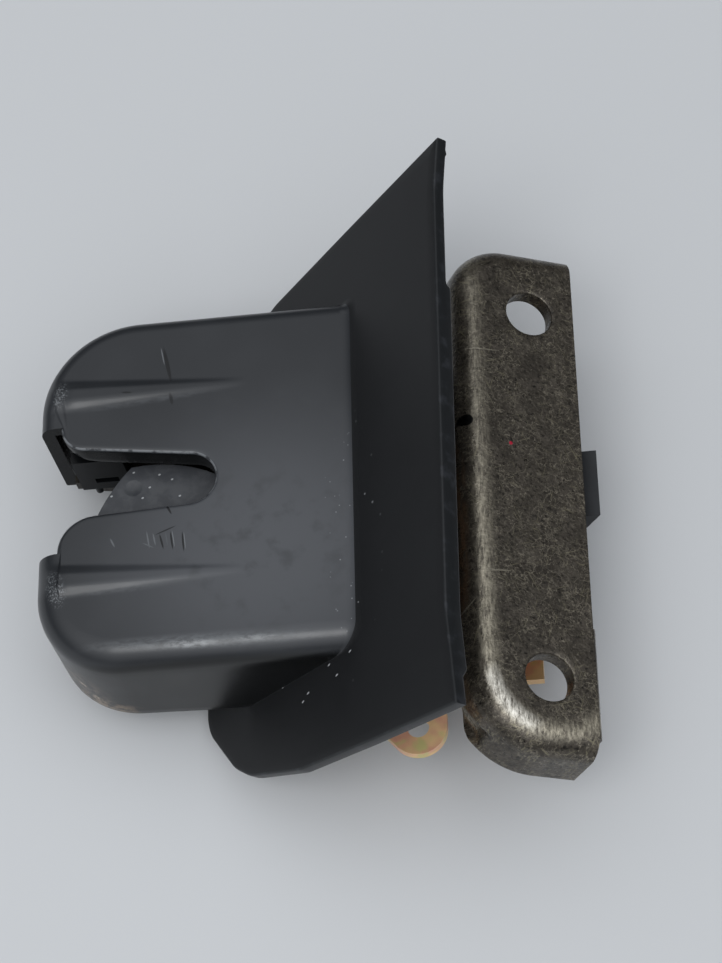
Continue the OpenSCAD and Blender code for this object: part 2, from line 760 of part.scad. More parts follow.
module release_spring() {
    color(spring_steel) translate([release_x, release_y, 0])
        torsion_coil(release_pin_d / 2 + 2.2, 0.9, release_bottom - 2.9, 150, 270, 6);
}

module drive_pin() {
    head = 1;
    color(steel_bright) {
        post(drive_x, drive_y, rod_z - 2.6, pawl_top - 0.6, drive_pin_d);
        post(drive_x, drive_y, release_bottom - head, release_bottom, drive_pin_d + 2);
    }
}

rod_d = 4.4;

module actuator_rod() {
    eye_half = 3.8;
    reach = actuator_x + 8;
    slot = drive_pin_d / 2 + pass_gap;
    color(plastic_black) difference() {
        union() {
            translate([drive_x + 5, rod_y, rod_z]) rotate([0, 90, 0]) cylinder(h = reach - drive_x - 5, d = rod_d);
            translate([drive_x - eye_half, drive_y - 4.6, rod_z - rod_d / 2])
                cube([2 * eye_half + 1, 9.2, rod_d]);
            translate([drive_x + 2, drive_y - 1, rod_z - rod_d / 2])
                cube([5.8, rod_y - drive_y + 1 + rod_d / 2, rod_d]);
        }
        translate([drive_x - slot, drive_y - slot - 0.8, rod_z - 5]) cube([2 * slot, 2 * slot + 1.2, 10]);
    }
}

connector_y = -1.3;
connector_top = -26;
connector_h = 11.5;
connector_wall = 1.5;

module actuator_housing() {
    rear = actuator_x + actuator_length;
    top = actuator_plate_bottom - lid_t;
    depth = top - actuator_bottom;
    r = 3;
    shroud_end = rear + connector_reach;
    color(plastic_black) difference() {
        union() {
            sheet(actuator_bottom + 2, top) union() {
                for (x = [actuator_x + r, rear - r]) for (y = [r - actuator_minus_y, actuator_plus_y - r])
                    translate([x, y]) circle(r);
                translate([actuator_x, r - actuator_minus_y])
                    square([actuator_length, actuator_minus_y + actuator_plus_y - 2 * r]);
                translate([actuator_x + r, -actuator_minus_y])
                    square([actuator_length - 2 * r, actuator_minus_y + actuator_plus_y]);
            }
            translate([actuator_x + 3, 3 - actuator_minus_y, actuator_bottom])
                cube([actuator_length - 6, actuator_minus_y + actuator_plus_y - 6, 3]);
            translate([rear - 4, connector_y, connector_top - connector_h])
                cube([connector_reach + 4, connector_w, connector_h]);
        }
        translate([shroud_end - 8, connector_y + connector_wall, connector_top - connector_h + connector_wall])
            cube([10, connector_w - 2 * connector_wall, connector_h - 2 * connector_wall]);
        translate([shroud_end, connector_y + connector_w + 1, connector_top]) rotate([90, 0, 0])
            linear_extrude(connector_w + 2)
            polygon([[0, 0], [-0.6 * connector_h, -connector_h - 0.1], [5, -connector_h - 0.1], [5, 0]]);
        translate([actuator_x - 1, rod_y, rod_z]) rotate([0, 90, 0])
            cylinder(h = 14, d = rod_d + 2 * running_gap);
        for (p = actuator_screw_places) post(p[0], p[1], top - 9, top + 1, actuator_screw_d + 2 * fixed_gap);
    }
}

module actuator_lid() {
    color(plastic_black) difference() {
        sheet(actuator_plate_bottom - lid_t, actuator_plate_bottom)
            translate([actuator_x, -actuator_minus_y])
            square([actuator_length - 6, actuator_minus_y + actuator_plus_y]);
        for (p = actuator_screw_places) post(p[0], p[1], -far, 0, actuator_screw_d + 2 * fixed_gap);
        translate([actuator_x - 1, rod_y, rod_z]) rotate([0, 90, 0])
            cylinder(h = 14, d = rod_d + 2 * running_gap);
    }
}

module connector_pins() {
    base_x = actuator_x + actuator_length + connector_reach - 8;
    pitch = 2.6;
    mid_z = connector_top - connector_h / 2;
    color(contact_tin) for (i = [0 : 2])
        translate([base_x, connector_y + connector_w / 2 + (i - 1) * pitch - 0.3, mid_z - 0.8])
            cube([3.5, 0.6, 1.6]);
}

module actuator_screws() {
    color(steel_bright) for (p = actuator_screw_places) {
        post(p[0], p[1], actuator_plate_bottom - lid_t - 8, foot_bottom, actuator_screw_d);
        post(p[0], p[1], foot_bottom, foot_bottom + 2, actuator_screw_d + 2.6);
    }
}

module spacer_rivets() {
    color(steel_bright) for (p = spacer_places) plate_pin(p[0], p[1], spacer_pin_d + 2.5, spacer_pin_d);
}

module bracket_rivets() {
    head = 1.2;
    color(steel_bright) for (p = bracket_rivet_places) {
        post(p[0], p[1], actuator_plate_bottom - head, base_plate_z + head, bracket_rivet_d);
        post(p[0], p[1], base_plate_z, base_plate_z + head, bracket_rivet_d + 2.4);
        post(p[0], p[1], actuator_plate_bottom - head, actuator_plate_bottom, bracket_rivet_d + 2.4);
    }
}

module cover_screws() {
    color(steel_bright) for (p = cover_screw_places) {
        post(p[0], p[1], base_plate_bottom, -6, cover_screw_d - 2 * fixed_gap);
        post(p[0], p[1], base_plate_bottom - 1.4, base_plate_bottom, cover_screw_d + 2.2);
    }
}

module switch_body() {
    height = 6.4;
    color(plastic_black) difference() {
        translate([switch_x, 7, base_plate_z]) cube([7.2, 13.4, height]);
        translate([switch_x - 1, switch_y, base_plate_z + height / 2]) rotate([0, 90, 0])
            cylinder(h = 5.5, d = 2.6 + 2 * running_gap);
        for (p = switch_screw_places) post(p[0], p[1], -far, 0, switch_screw_d + 2 * fixed_gap);
    }
}

module switch_plunger() {
    height = 6.4;
    tip = 35;
    color("#9c9a94") translate([tip, switch_y, base_plate_z + height / 2]) rotate([0, 90, 0])
        cylinder(h = switch_x - tip + 2.4, d = 2.6);
}

module switch_screws() {
    color(steel_bright) for (p = switch_screw_places) {
        post(p[0], p[1], base_plate_bottom, base_plate_z + 6.4, switch_screw_d);
        post(p[0], p[1], base_plate_z + 6.4, base_plate_z + 7.6, switch_screw_d + 1.8);
    }
}

cover();
mounting_bracket();
base_plate();
upper_plate();
actuator_plate();
claw_core();
claw_jacket();
claw_pivot();
claw_spring();
claw_stop();
striker_buffer();
mouth_guide();
pawl();
pawl_pivot();
pawl_spring();
release_lever();
release_pivot();
release_spring();
drive_pin();
actuator_rod();
actuator_housing();
actuator_lid();
connector_pins();
actuator_screws();
spacer_rivets();
bracket_rivets();
cover_screws();
switch_body();
switch_plunger();
switch_screws();
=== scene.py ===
import json
import math

import bmesh
import bpy
import numpy as np
from mathutils import Matrix, Vector


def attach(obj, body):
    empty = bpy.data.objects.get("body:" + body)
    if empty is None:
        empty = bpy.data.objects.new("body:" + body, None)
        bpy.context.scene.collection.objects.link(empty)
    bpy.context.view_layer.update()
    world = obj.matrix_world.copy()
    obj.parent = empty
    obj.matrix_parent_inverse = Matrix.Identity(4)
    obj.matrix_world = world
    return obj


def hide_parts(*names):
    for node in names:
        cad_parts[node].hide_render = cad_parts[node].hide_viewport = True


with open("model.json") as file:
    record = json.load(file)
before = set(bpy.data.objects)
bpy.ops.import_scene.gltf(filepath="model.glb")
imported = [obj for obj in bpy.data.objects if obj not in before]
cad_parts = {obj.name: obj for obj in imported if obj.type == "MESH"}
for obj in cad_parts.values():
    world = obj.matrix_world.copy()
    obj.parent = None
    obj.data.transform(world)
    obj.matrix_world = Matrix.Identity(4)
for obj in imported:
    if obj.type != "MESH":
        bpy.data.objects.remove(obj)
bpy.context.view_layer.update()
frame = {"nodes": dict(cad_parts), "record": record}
MM = 0.001
TAU = 2 * math.pi


# ---- camera: solved from the floor's lattice and the two round bolt holes in the photograph
cam_data = bpy.data.cameras.new("camera")
cam_data.sensor_fit = "VERTICAL"
SENSOR_MM, FOCAL_PX, PHOTO_HEIGHT_PX = 36.0, 2700.0, 963.0
cam_data.sensor_height = SENSOR_MM
cam_data.lens = SENSOR_MM * FOCAL_PX / PHOTO_HEIGHT_PX
cam_data.clip_start = 0.01
camera = bpy.data.objects.new("camera", cam_data)
right = Vector((0.98911855, -0.01939925, -0.14583609))
up = Vector((0.08588508, 0.880966, 0.46531996))
back = Vector((0.11944978, -0.47278198, 0.87304591))
camera.matrix_world = Matrix.Translation(Vector((90.555, -233.565, 424.1)) * MM) @ Matrix(
    (right, up, back)).transposed().to_4x4()
bpy.context.scene.collection.objects.link(camera)
bpy.context.scene.camera = camera


# ---- meshes: grids of points in millimetres, welded where their edges meet
SHARP = 38


class Shell:
    """Collects grids and flat caps that share their edges, and welds them into one closed mesh."""

    def __init__(self):
        self.points, self.faces, self.slots = [], [], []
        self.count = 0

    def _add(self, points):
        """Stores a list of points and gives back their numbers."""
        ids = np.arange(len(points)) + self.count
        self.points.append(points)
        self.count += len(points)
        return ids

    def grid(self, p, slot=0, close_u=False, close_v=False):
        """Quads over p[u, v]. slot is one material index, or one for each step along v."""
        n, m = p.shape[:2]
        ids = self._add(p.reshape(-1, 3)).reshape(n, m)
        if close_u:
            ids = np.vstack([ids, ids[:1]])
        if close_v:
            ids = np.hstack([ids, ids[:, :1]])
        quads = np.stack([ids[:-1, :-1], ids[1:, :-1], ids[1:, 1:], ids[:-1, 1:]], -1)
        self.faces += quads.reshape(-1, 4).tolist()
        self.slots.append(np.broadcast_to(slot, quads.shape[:2]).reshape(-1))

    def cap(self, loop, slot=0):
        """One flat face inside a closed loop of points."""
        self.faces.append(self._add(np.asarray(loop)).tolist())
        self.slots.append(np.array([slot]))

    def build(self, name, finishes):
        """One object of all the faces: equal points welded, smooth but for edges over SHARP degrees."""
        mesh = bpy.data.meshes.new(name)
        mesh.from_pydata(np.vstack(self.points) * MM, [], self.faces)
        mesh.polygons.foreach_set("material_index", np.concatenate(self.slots).astype(np.int32))
        bm = bmesh.new()
        bm.from_mesh(mesh)
        bmesh.ops.remove_doubles(bm, verts=bm.verts, dist=2e-6)
        bmesh.ops.dissolve_degenerate(bm, edges=bm.edges, dist=1e-7)
        bmesh.ops.recalc_face_normals(bm, faces=bm.faces)
        bm.to_mesh(mesh)
        bm.free()
        mesh.polygons.foreach_set("use_smooth", [True] * len(mesh.polygons))
        mesh.set_sharp_from_angle(angle=math.radians(SHARP))
        for f in finishes:
            mesh.materials.append(f)
        obj = bpy.data.objects.new(name, mesh)
        bpy.context.scene.collection.objects.link(obj)
        return obj


def smooth(t):
    """Eased step: 0 below 0, 1 above 1."""
    t = np.clip(t, 0, 1)
    return t * t * (3 - 2 * t)


def between(value, low, high, ease):
    """1 between low and high, eased to 0 over a width inside each end."""
    return smooth((value - low) / ease) * smooth((high - value) / ease)


def rounded(corners):
    """Closed outline through corners (a, b, radius), with a tangent arc at each corner."""
    out = []
    for i, (a, b, r) in enumerate(corners):
        p = np.array([a, b], float)
        if r == 0:
            out.append(p[None])
            continue
        q = np.array(corners[i - 1][:2]) - p
        w = np.array(corners[(i + 1) % len(corners)][:2]) - p
        q, w = q / np.linalg.norm(q), w / np.linalg.norm(w)
        half = 0.5 * math.acos(float(np.clip(q @ w, -1, 1)))
        centre = p + (q + w) / np.linalg.norm(q + w) * r / math.sin(half)
        reach = r / math.tan(half)
        v0, v1 = p + q * reach - centre, p + w * reach - centre
        turn = math.pi - 2 * half
        t = np.linspace(0, 1, max(3, int(r * turn / 0.8)))[:, None]
        out.append(centre + (np.sin((1 - t) * turn) * v0 + np.sin(t * turn) * v1) / math.sin(turn))
    return np.vstack(out)


def divided(line, step, closed=True):
    """Cuts each edge of an outline into lengths of at most step and keeps its corners."""
    ends = np.roll(line, -1, 0) if closed else line[1:]
    starts = line if closed else line[:-1]
    cuts = []
    for a, b in zip(starts, ends):
        count = max(1, math.ceil(np.linalg.norm(b - a) / step))
        cuts.append(a + (b - a) * np.linspace(0, 1, count, endpoint=False)[:, None])
    return np.vstack(cuts if closed else cuts + [line[-1:]])


def left_normals(line, closed):
    """Mitred normals to the left of a path, so that line + d * normal lies d away from each edge."""
    edge = (np.roll(line, -1, 0) - line) if closed else np.diff(line, axis=0)
    edge = edge / np.linalg.norm(edge, axis=1)[:, None]
    before = np.roll(edge, 1, 0) if closed else np.vstack([edge[:1], edge])
    after = edge if closed else np.vstack([edge, edge[-1:]])
    n = np.stack([-(before + after)[:, 1], (before + after)[:, 0]], -1)
    return n / (1 + np.sum(before * after, 1))[:, None]


def ruled(a, b, rows):
    """Points on straight lines from each a to its b, as an array [u, v]."""
    return a[:, None] + (b - a)[:, None] * np.linspace(0, 1, rows)[None, :, None]


def with_z(plan, z):
    """Adds the height z, one or one for each point, to points of the plan."""
    return np.concatenate([plan, np.broadcast_to(z, plan.shape[:-1])[..., None]], -1)


def prism(shell, profile, low, high, place):
    """Closed bar: a profile (a, c) swept from b = low to b = high, put in place by place(a, b, c)."""
    ends = [place(profile[:, 0], np.full(len(profile), b), profile[:, 1]) for b in (low, high)]
    shell.grid(np.stack(ends), close_v=True)
    shell.cap(ends[0])
    shell.cap(ends[1])


# ---- shader helpers
def linear(code):
    """sRGB hex to the linear colour a shader wants."""
    c = np.array([int(code[i:i + 2], 16) for i in (1, 3, 5)]) / 255.0
    c = np.where(c <= 0.04045, c / 12.92, ((c + 0.055) / 1.055) ** 2.4)
    return (*c.tolist(), 1.0)


def node(tree, kind, settings=None, **links):
    """Adds one shader node. Settings are its properties. Each link is named for its input, or i and its
    number, and is a value, a colour code or a socket."""
    n = tree.nodes.new(kind)
    for key, value in (settings or {}).items():
        setattr(n, key, value)
    for key, value in links.items():
        index = int(key[1:]) if key[0] == "i" and key[1:].isdigit() else key.replace("_", " ")
        socket = n.inputs[index]
        if isinstance(value, bpy.types.NodeSocket):
            tree.links.new(value, socket)
        elif isinstance(value, str):
            socket.default_value = linear(value)
        else:
            socket.default_value = value
    return n


EASED = {"interpolation_type": "SMOOTHSTEP"}
CENTRED = {"vector_type": "TEXTURE"}
COLUMN = 1000    # half length along Z, in mm, of a mark that is given on the plan only


class Finish:
    """One material built up in layers. A mask is a socket that is 1 where a layer shows, 0 elsewhere."""

    def __init__(self, name, colour, rough, metal=0.0, **surface):
        self.material = bpy.data.materials.new(name)
        self.material.use_nodes = True
        self.tree = self.material.node_tree
        self.surface = self.tree.nodes["Principled BSDF"]
        self.surface.inputs["Base Color"].default_value = linear(colour)
        self.surface.inputs["Roughness"].default_value = rough
        self.surface.inputs["Metallic"].default_value = metal
        for key, value in surface.items():
            self.surface.inputs[key.replace("_", " ")].default_value = value
        self.colour, self.rough, self.normal = colour, rough, None
        self.place = node(self.tree, "ShaderNodeTexCoord").outputs["Object"]

    def mottle(self, size_mm, low, high, detail=3.0, stretch=(1, 1, 1), turn=0.0, rough=0.55):
        """Blotches size_mm across, longer along an axis by its stretch and turned about Z in degrees."""
        spot = node(self.tree, "ShaderNodeMapping", CENTRED, Vector=self.place,
                    Rotation=(0, 0, math.radians(turn)), Scale=[MM * size_mm * s for s in stretch])
        blotch = node(self.tree, "ShaderNodeTexNoise", Vector=spot.outputs[0], Scale=1.0, Detail=detail,
                      Roughness=rough)
        return node(self.tree, "ShaderNodeMapRange", EASED, Value=blotch.outputs["Fac"], From_Min=low,
                    From_Max=high).outputs[0]

    def mark(self, at, half, turn=0.0, edge=0.4):
        """An ellipsoid by its centre and half lengths in mm. With two values it is a column along Z."""
        spot = node(self.tree, "ShaderNodeMapping", CENTRED, Vector=self.place,
                    Location=[v * MM for v in (*at, 0)[:3]], Rotation=(0, 0, math.radians(turn)),
                    Scale=[v * MM for v in (*half, COLUMN)[:3]])
        ball = node(self.tree, "ShaderNodeTexGradient", {"gradient_type": "SPHERICAL"},
                    Vector=spot.outputs[0])
        return node(self.tree, "ShaderNodeMapRange", EASED, Value=ball.outputs["Fac"], From_Min=0.0,
                    From_Max=edge).outputs[0]

    def scratch(self, a, b, width):
        """A straight scratch from a to b on the plan, in mm, as a long thin ellipse."""
        dx, dy = b[0] - a[0], b[1] - a[1]
        return self.mark(((a[0] + b[0]) / 2, (a[1] + b[1]) / 2), (math.hypot(dx, dy) / 2, width / 2),
                         math.degrees(math.atan2(dy, dx)))

    def specks(self, apart_mm, share):
        """Dust: one speck in a share of the cells of a random lattice apart_mm wide."""
        spot = node(self.tree, "ShaderNodeMapping", CENTRED, Vector=self.place, Scale=[MM * apart_mm] * 3)
        cell = node(self.tree, "ShaderNodeTexVoronoi", Vector=spot.outputs[0], Scale=1.0)
        chance = node(self.tree, "ShaderNodeSeparateColor", Color=cell.outputs["Color"]).outputs[0]
        near = node(self.tree, "ShaderNodeMapRange", EASED, Value=cell.outputs["Distance"], From_Min=0.2,
                    From_Max=0.11).outputs[0]
        picked = node(self.tree, "ShaderNodeMapRange", EASED, Value=chance, From_Min=1 - share,
                      From_Max=1.04 - share).outputs[0]
        return self.where(near, picked)

    def where(self, *masks):
        """1 only where every mask shows: their product."""
        result = masks[0]
        for m in masks[1:]:
            product = node(self.tree, "ShaderNodeMath", {"operation": "MULTIPLY"}, i0=result, i1=m)
            result = product.outputs[0]
        return result

    def tint(self, colour, *masks):
        """Lays another colour over the base where every mask shows."""
        self.colour = node(self.tree, "ShaderNodeMix", {"data_type": "RGBA"}, i0=self.where(*masks),
                           i6=self.colour, i7=colour).outputs[2]

    def polish(self, rough, *masks):
        """Changes the roughness where every mask shows."""
        self.rough = node(self.tree, "ShaderNodeMix", {"data_type": "FLOAT"}, i0=self.where(*masks),
                          i2=self.rough, i3=rough).outputs[0]

    def relief(self, height, depth_mm, strength=0.5):
        """Bumps the surface by a height of 0 to 1 over depth_mm."""
        links = {} if self.normal is None else {"Normal": self.normal}
        self.normal = node(self.tree, "ShaderNodeBump", Height=height, Strength=strength,
                           Distance=depth_mm * MM, **links).outputs[0]

    def done(self):
        """Links what was built up to the surface and gives back the material."""
        built = ((self.colour, "Base Color"), (self.rough, "Roughness"), (self.normal, "Normal"))
        for value, socket in built:
            if isinstance(value, bpy.types.NodeSocket):
                self.tree.links.new(value, self.surface.inputs[socket])
        return self.material


# ---- cover: sizes in millimetres, as the solid has them
NOSE, JUNCTION, LIP = 27.6, 31.2, 23.4
WALL, DEPTH, NOSE_DEPTH = 2.5, 23.5, 22.0
MOUTH_END, MOUTH_R, FLARE_N, FLARE_S = 0.7, 5.1, 5.0, 7.0
CUT_N, CUT_S = 12.7, 13.3    # where the mouth's flare meets the nose, on +Y and -Y
FLARE_CENTRE_S = -12.9       # y of the -Y flare's centre
SIDE = {1: dict(y=35.0, corner=18.5, edge=3.0, cut=CUT_N),
        -1: dict(y=36.0, corner=16.0, edge=4.8, cut=CUT_S)}
COLLAR, COLLAR_WALL, MOUTH_EDGE = 4.8, 1.5, 0.8
COLLAR_ENDS = 1.3            # the collar's depth where it starts at the nose
FLANGE_T, BEAD = 2.4, 1.0
INSIDE = 0.8                 # how far the hood's rear edge runs into the flange
FOOT = 0.35                  # radius of the rounding along the wall's lower edge
RIBS = ((19.3, 6.4, 19.2), (-19.0, 6.4, -19.3))    # y at the nose, width there, y at the far end
RIB_START, RIB_END, RIB_HEIGHT = -28.0, 11.5, 1.05
BOSSES = ((-14, 22), (13, 28.3), (-8.5, -29.5))
BOSS_R, BOSS_LOW, BOSS_SEAT = 2.6, -15.5, 0.5
COUNTS = (8, 46, 92)         # points along the nose line, the corner and the straight side
ROOT2 = math.sqrt(2)
PLASTIC, GLOSS, FLANGE, RIM, PAINTED_EDGE = range(5)    # the cover's material slots


def half_row(side, inset, x_end):
    """Plan of one half of the hood set in by inset: nose line, corner arc, then straight back to x_end."""
    s = SIDE[side]
    cx, cy, r = s["corner"] - NOSE, s["y"] - s["corner"], s["corner"] - inset
    a, b = (np.linspace(0, 1, n, endpoint=False) for n in COUNTS[:2])
    c = np.linspace(0, 1, COUNTS[2])
    nose = np.stack([np.full_like(a, inset - NOSE), s["cut"] + (cy - s["cut"]) * a], -1)
    arc = np.stack([cx - r * np.cos(b * math.pi / 2), cy + r * np.sin(b * math.pi / 2)], -1)
    straight = np.stack([cx + (x_end - cx) * c, np.full_like(c, s["y"] - inset)], -1)
    return np.vstack([nose, arc, straight]) * (1, side)


def bottom(x):
    """Height of the wall's lower edge: shallower at the nose."""
    return np.interp(x, [-NOSE + WALL, -12, 0], [-NOSE_DEPTH, 0.7 - DEPTH, -DEPTH])


def mouth_path(count):
    """Edge of the mouth from the flare on +Y round the striker's seat to the flare on -Y: two quarter
    circles and a half circle, joined by lines, softened by a moving average and spaced evenly."""
    q = np.linspace(0, 1, 60)[:, None] * math.pi / 2
    n_c, s_c = np.array([FLARE_N - LIP, CUT_N]), np.array([FLARE_S - LIP, FLARE_CENTRE_S])
    flare_n = n_c - FLARE_N * np.hstack([np.cos(q), np.sin(q)])
    end = np.array([MOUTH_END, 0]) + MOUTH_R * np.hstack([np.sin(2 * q), np.cos(2 * q)])
    flare_s = s_c + FLARE_S * np.hstack([-np.sin(q), np.cos(q)])
    raw = divided(np.vstack([flare_n, end, flare_s, [[-LIP, -CUT_S]]]), 0.3, closed=False)
    at = np.concatenate([[0], np.cumsum(np.linalg.norm(np.diff(raw, axis=0), axis=1))])
    fine_count, softening = 1200, 1.2
    fine = np.linspace(0, at[-1], fine_count)
    line = np.stack([np.interp(fine, at, raw[:, k]) for k in (0, 1)], -1)
    width = int(softening / at[-1] * fine_count)
    kernel = np.hanning(2 * width + 1)
    kernel /= kernel.sum()
    padded = np.vstack([2 * line[0] - line[width:0:-1], line, 2 * line[-1] - line[-2:-width - 2:-1]])
    soft = np.stack([np.convolve(padded[:, k], kernel, "valid") for k in (0, 1)], -1)
    pick = np.linspace(0, fine_count - 1, count)
    return np.stack([np.interp(pick, np.arange(fine_count), soft[:, k]) for k in (0, 1)], -1)


def rib_height(x, y):
    """Height of the two ribs: an eased bank to each side of a line, wide and full at the nose. Width and
    height both shrink evenly along the top face."""
    h = np.zeros_like(x)
    along = np.clip((x - RIB_START) / (RIB_END - RIB_START), 0, 1)
    for y0, w, y1 in RIBS:
        v = np.abs(y - y0 - (y1 - y0) * along) / (0.5 * w * (1 - 0.8 * along))
        h += smooth((1.25 - v) / 0.9) * (1 - along) * smooth((x - RIB_START) / 7.5)
    return RIB_HEIGHT * h


def wall_rows(side):
    """Rows of one side wall as [u, v]: from the top face over a quarter-circle edge, straight down, round
    the foot, and up inside. Each row ends on the flange's slope at its own height."""
    edge = SIDE[side]["edge"]
    rear = JUNCTION + INSIDE
    rows = []
    for a in np.radians(np.linspace(90, 0, 9)):
        z = edge * (math.sin(a) - 1)
        rows.append(with_z(half_row(side, edge * (1 - math.cos(a)), rear + z), z))
    for v in np.linspace(0.1, 1, 12):
        plan = half_row(side, 0, rear - edge * (1 - v) + (FOOT - DEPTH) * v)
        rows.append(with_z(plan, -edge * (1 - v) + (bottom(plan[:, 0]) + FOOT) * v))
    for inset, lift in ((0.1, 0.1), (FOOT, 0), (WALL - FOOT, 0), (WALL - 0.1, 0.1), (WALL, FOOT)):
        plan = half_row(side, inset, rear + lift - DEPTH)
        rows.append(with_z(plan, bottom(plan[:, 0]) + lift))
    for v in (0.35, 0.7, 1):
        plan = half_row(side, WALL, rear + (FOOT - DEPTH) * (1 - v) - WALL * v)
        rows.append(with_z(plan, (bottom(plan[:, 0]) + FOOT) * (1 - v) - WALL * v))
    return np.stack(rows, 1)


def hood(shell):
    """Hood with its mouth collar, one closed shell that ends inside the flange: the top face is ruled from
    the mouth's edge to the plan's outline, with the ribs' height added."""
    walls = {side: wall_rows(side) for side in (1, -1)}
    for w in walls.values():
        fade = smooth(1 - np.arange(w.shape[1]) / 8)
        w[..., 2] += rib_height(w[..., 0], w[..., 1]) * fade
    rear = np.linspace(0, 1, 130)[1:-1, None]

    def outline(row):
        """One row of both side walls, joined along the rear by a straight line."""
        n, s = walls[1][:, row], walls[-1][::-1, row]
        return np.vstack([n, n[-1] + (s[0] - n[-1]) * rear, s])

    outer, inner = outline(0), outline(-1)
    path = mouth_path(len(outer))
    normal = left_normals(path, closed=False)
    arrive = np.linspace(0, 1, len(path))
    full = smooth(arrive / 0.13) * smooth((1 - arrive) / 0.10 + 0.35)
    depth = COLLAR_ENDS + (COLLAR - COLLAR_ENDS) * full
    under = np.maximum(depth, WALL)
    rows = [(COLLAR_WALL, np.full_like(depth, -WALL)), (COLLAR_WALL, -under + 0.2),
            (COLLAR_WALL - 0.3, -under)]
    rows += [(0.4, -depth), (0.1, -depth + 0.12), (0, -depth + 0.4)]
    rows += [(0, -depth * (1 - v) - MOUTH_EDGE * v + 0.4 * (1 - v)) for v in (0.3, 0.6, 1)]
    turn = np.radians(np.linspace(0, 90, 7))[1:]
    rows += [(MOUTH_EDGE * (1 - math.cos(a)), np.full_like(depth, MOUTH_EDGE * (math.sin(a) - 1)))
             for a in turn]
    collar = np.stack([with_z(path + d * normal, z) for d, z in rows], 1)
    band = np.arange(len(rows) - 1)
    # Painted highlight: a pale line on two rows of the mouth's rounded edge, from the +Y flare round the
    # striker's seat.
    rubbed = (arrive[:-1, None] < 0.56) & (band > 9) & (band < 12)
    shell.grid(collar, np.where(rubbed, PAINTED_EDGE, np.where(band < 9, GLOSS, PLASTIC)))
    flat = ruled(collar[:, -1], outer, 72)
    flat[:, 1:-1, 2] += rib_height(flat[:, 1:-1, 0], flat[:, 1:-1, 1])
    flat[:, -1] = outer
    shell.grid(flat)
    floor_under = ruled(collar[:, 0], inner, 5)
    shell.grid(floor_under, GLOSS)
    count = len(walls[1])
    shell.grid(np.stack([outer[count - 1:1 - count], inner[count - 1:1 - count]], 1))
    for side, column in ((1, 0), (-1, -1)):
        wall = walls[side]
        band = np.arange(wall.shape[1] - 1)
        # Painted highlight: the same pale line along the foot of the -Y wall.
        foot_highlit = (band < 22) & (side < 0)
        shell.grid(wall, np.where(band < 20, PLASTIC, np.where(foot_highlit, PAINTED_EDGE, GLOSS)))
        shell.cap(np.vstack([wall[0], floor_under[column, ::-1], collar[column], flat[column]]), GLOSS)
        shell.cap(wall[-1])


# Outline of the flange in its own plane: distance up the slope, y, and radius of the corner
FLANGE_OUTLINE = (
    (27.4, 55.8, 0), (0, 50.8, 0), (-24.5, 46.1, 9), (-36, 41, 9), (-47, 30, 9), (-47, -36, 9),
    (-38, -46.4, 9), (-33, -49.6, 9), (-17.6, -53.6, 9), (2.9, -55.2, 0), (26.6, -56.6, 0),
    (24.8, -38.6, 30), (26, 45.8, 30),
)
BEAD_ENDS, BEAD_FROM = (-51, 26), 10    # y of the bead's ends, and how far up the slope it starts
BEAD_IN, BEAD_OUT = 2.2, 2.6            # the bead's flat and its foot, measured in from the rim
RIM_R = 0.4


def flange_frame(s, y, h):
    """Flange coordinates to the row's: s up the slope, h out of the front face."""
    return np.stack([JUNCTION + (s - h) / ROOT2, y, (s + h) / ROOT2], -1)


def flange(shell):
    """Flange plate with its rim bead and the opening behind the hood, as one closed ring: each section
    runs from the opening to the rim on the front, over the rounded rim and back behind."""
    edge = divided(rounded(FLANGE_OUTLINE), 0.8)
    inward = left_normals(edge, closed=True)
    middle = np.array([(-DEPTH - 1 - WALL) * ROOT2 / 2, -0.5])
    half = np.array([(DEPTH + 1 - WALL) * ROOT2 / 2, 33.0]) + 0.05
    ray = edge - middle
    hole = middle + ray * np.min(half / np.maximum(np.abs(ray), 1e-9), 1)[:, None]
    thick = between(edge[:, 1], *BEAD_ENDS, 1.2) * (edge[:, 0] > BEAD_FROM) * BEAD

    def row(plan, h):
        """Points of the plan at one height out of the front face, in the row's frame."""
        return flange_frame(plan[:, 0], plan[:, 1], np.broadcast_to(h, plan.shape[:1]))

    front, foot = edge + inward * RIM_R, edge + inward * BEAD_OUT
    rows = [row(hole + (front - hole) * t, 0.0) for t in np.linspace(0, 1, 14)]
    first_of_rim = len(rows) - 1
    bend = np.radians((30, 60, 90))
    rows += [row(edge + inward * RIM_R * (1 - math.sin(a)), RIM_R * (math.cos(a) - 1)) for a in bend]
    rows += [row(edge, -RIM_R * (1 - t) - (FLANGE_T + thick - RIM_R) * t) for t in (0.5, 1)]
    rows += [row(edge + inward * RIM_R * (1 - math.cos(a)), -FLANGE_T - thick + RIM_R * (1 - math.sin(a)))
             for a in bend]
    rows += [row(edge + inward * BEAD_IN, -FLANGE_T - thick), row(foot, -FLANGE_T)]
    last_of_rim = len(rows) - 2
    rows += [row(foot + (hole - foot) * t, -FLANGE_T) for t in (0.5, 1)]
    step = np.arange(len(rows))
    on_rim = (step >= first_of_rim) & (step < last_of_rim)
    shell.grid(np.stack(rows, 1), np.where(on_rim, RIM, FLANGE), close_u=True, close_v=True)


LEG_SIDE, LEG_TOP, LEG_CORNER = 0.06, 1.6, 0.8    # fillet's legs: at the sides, added on top, at corners


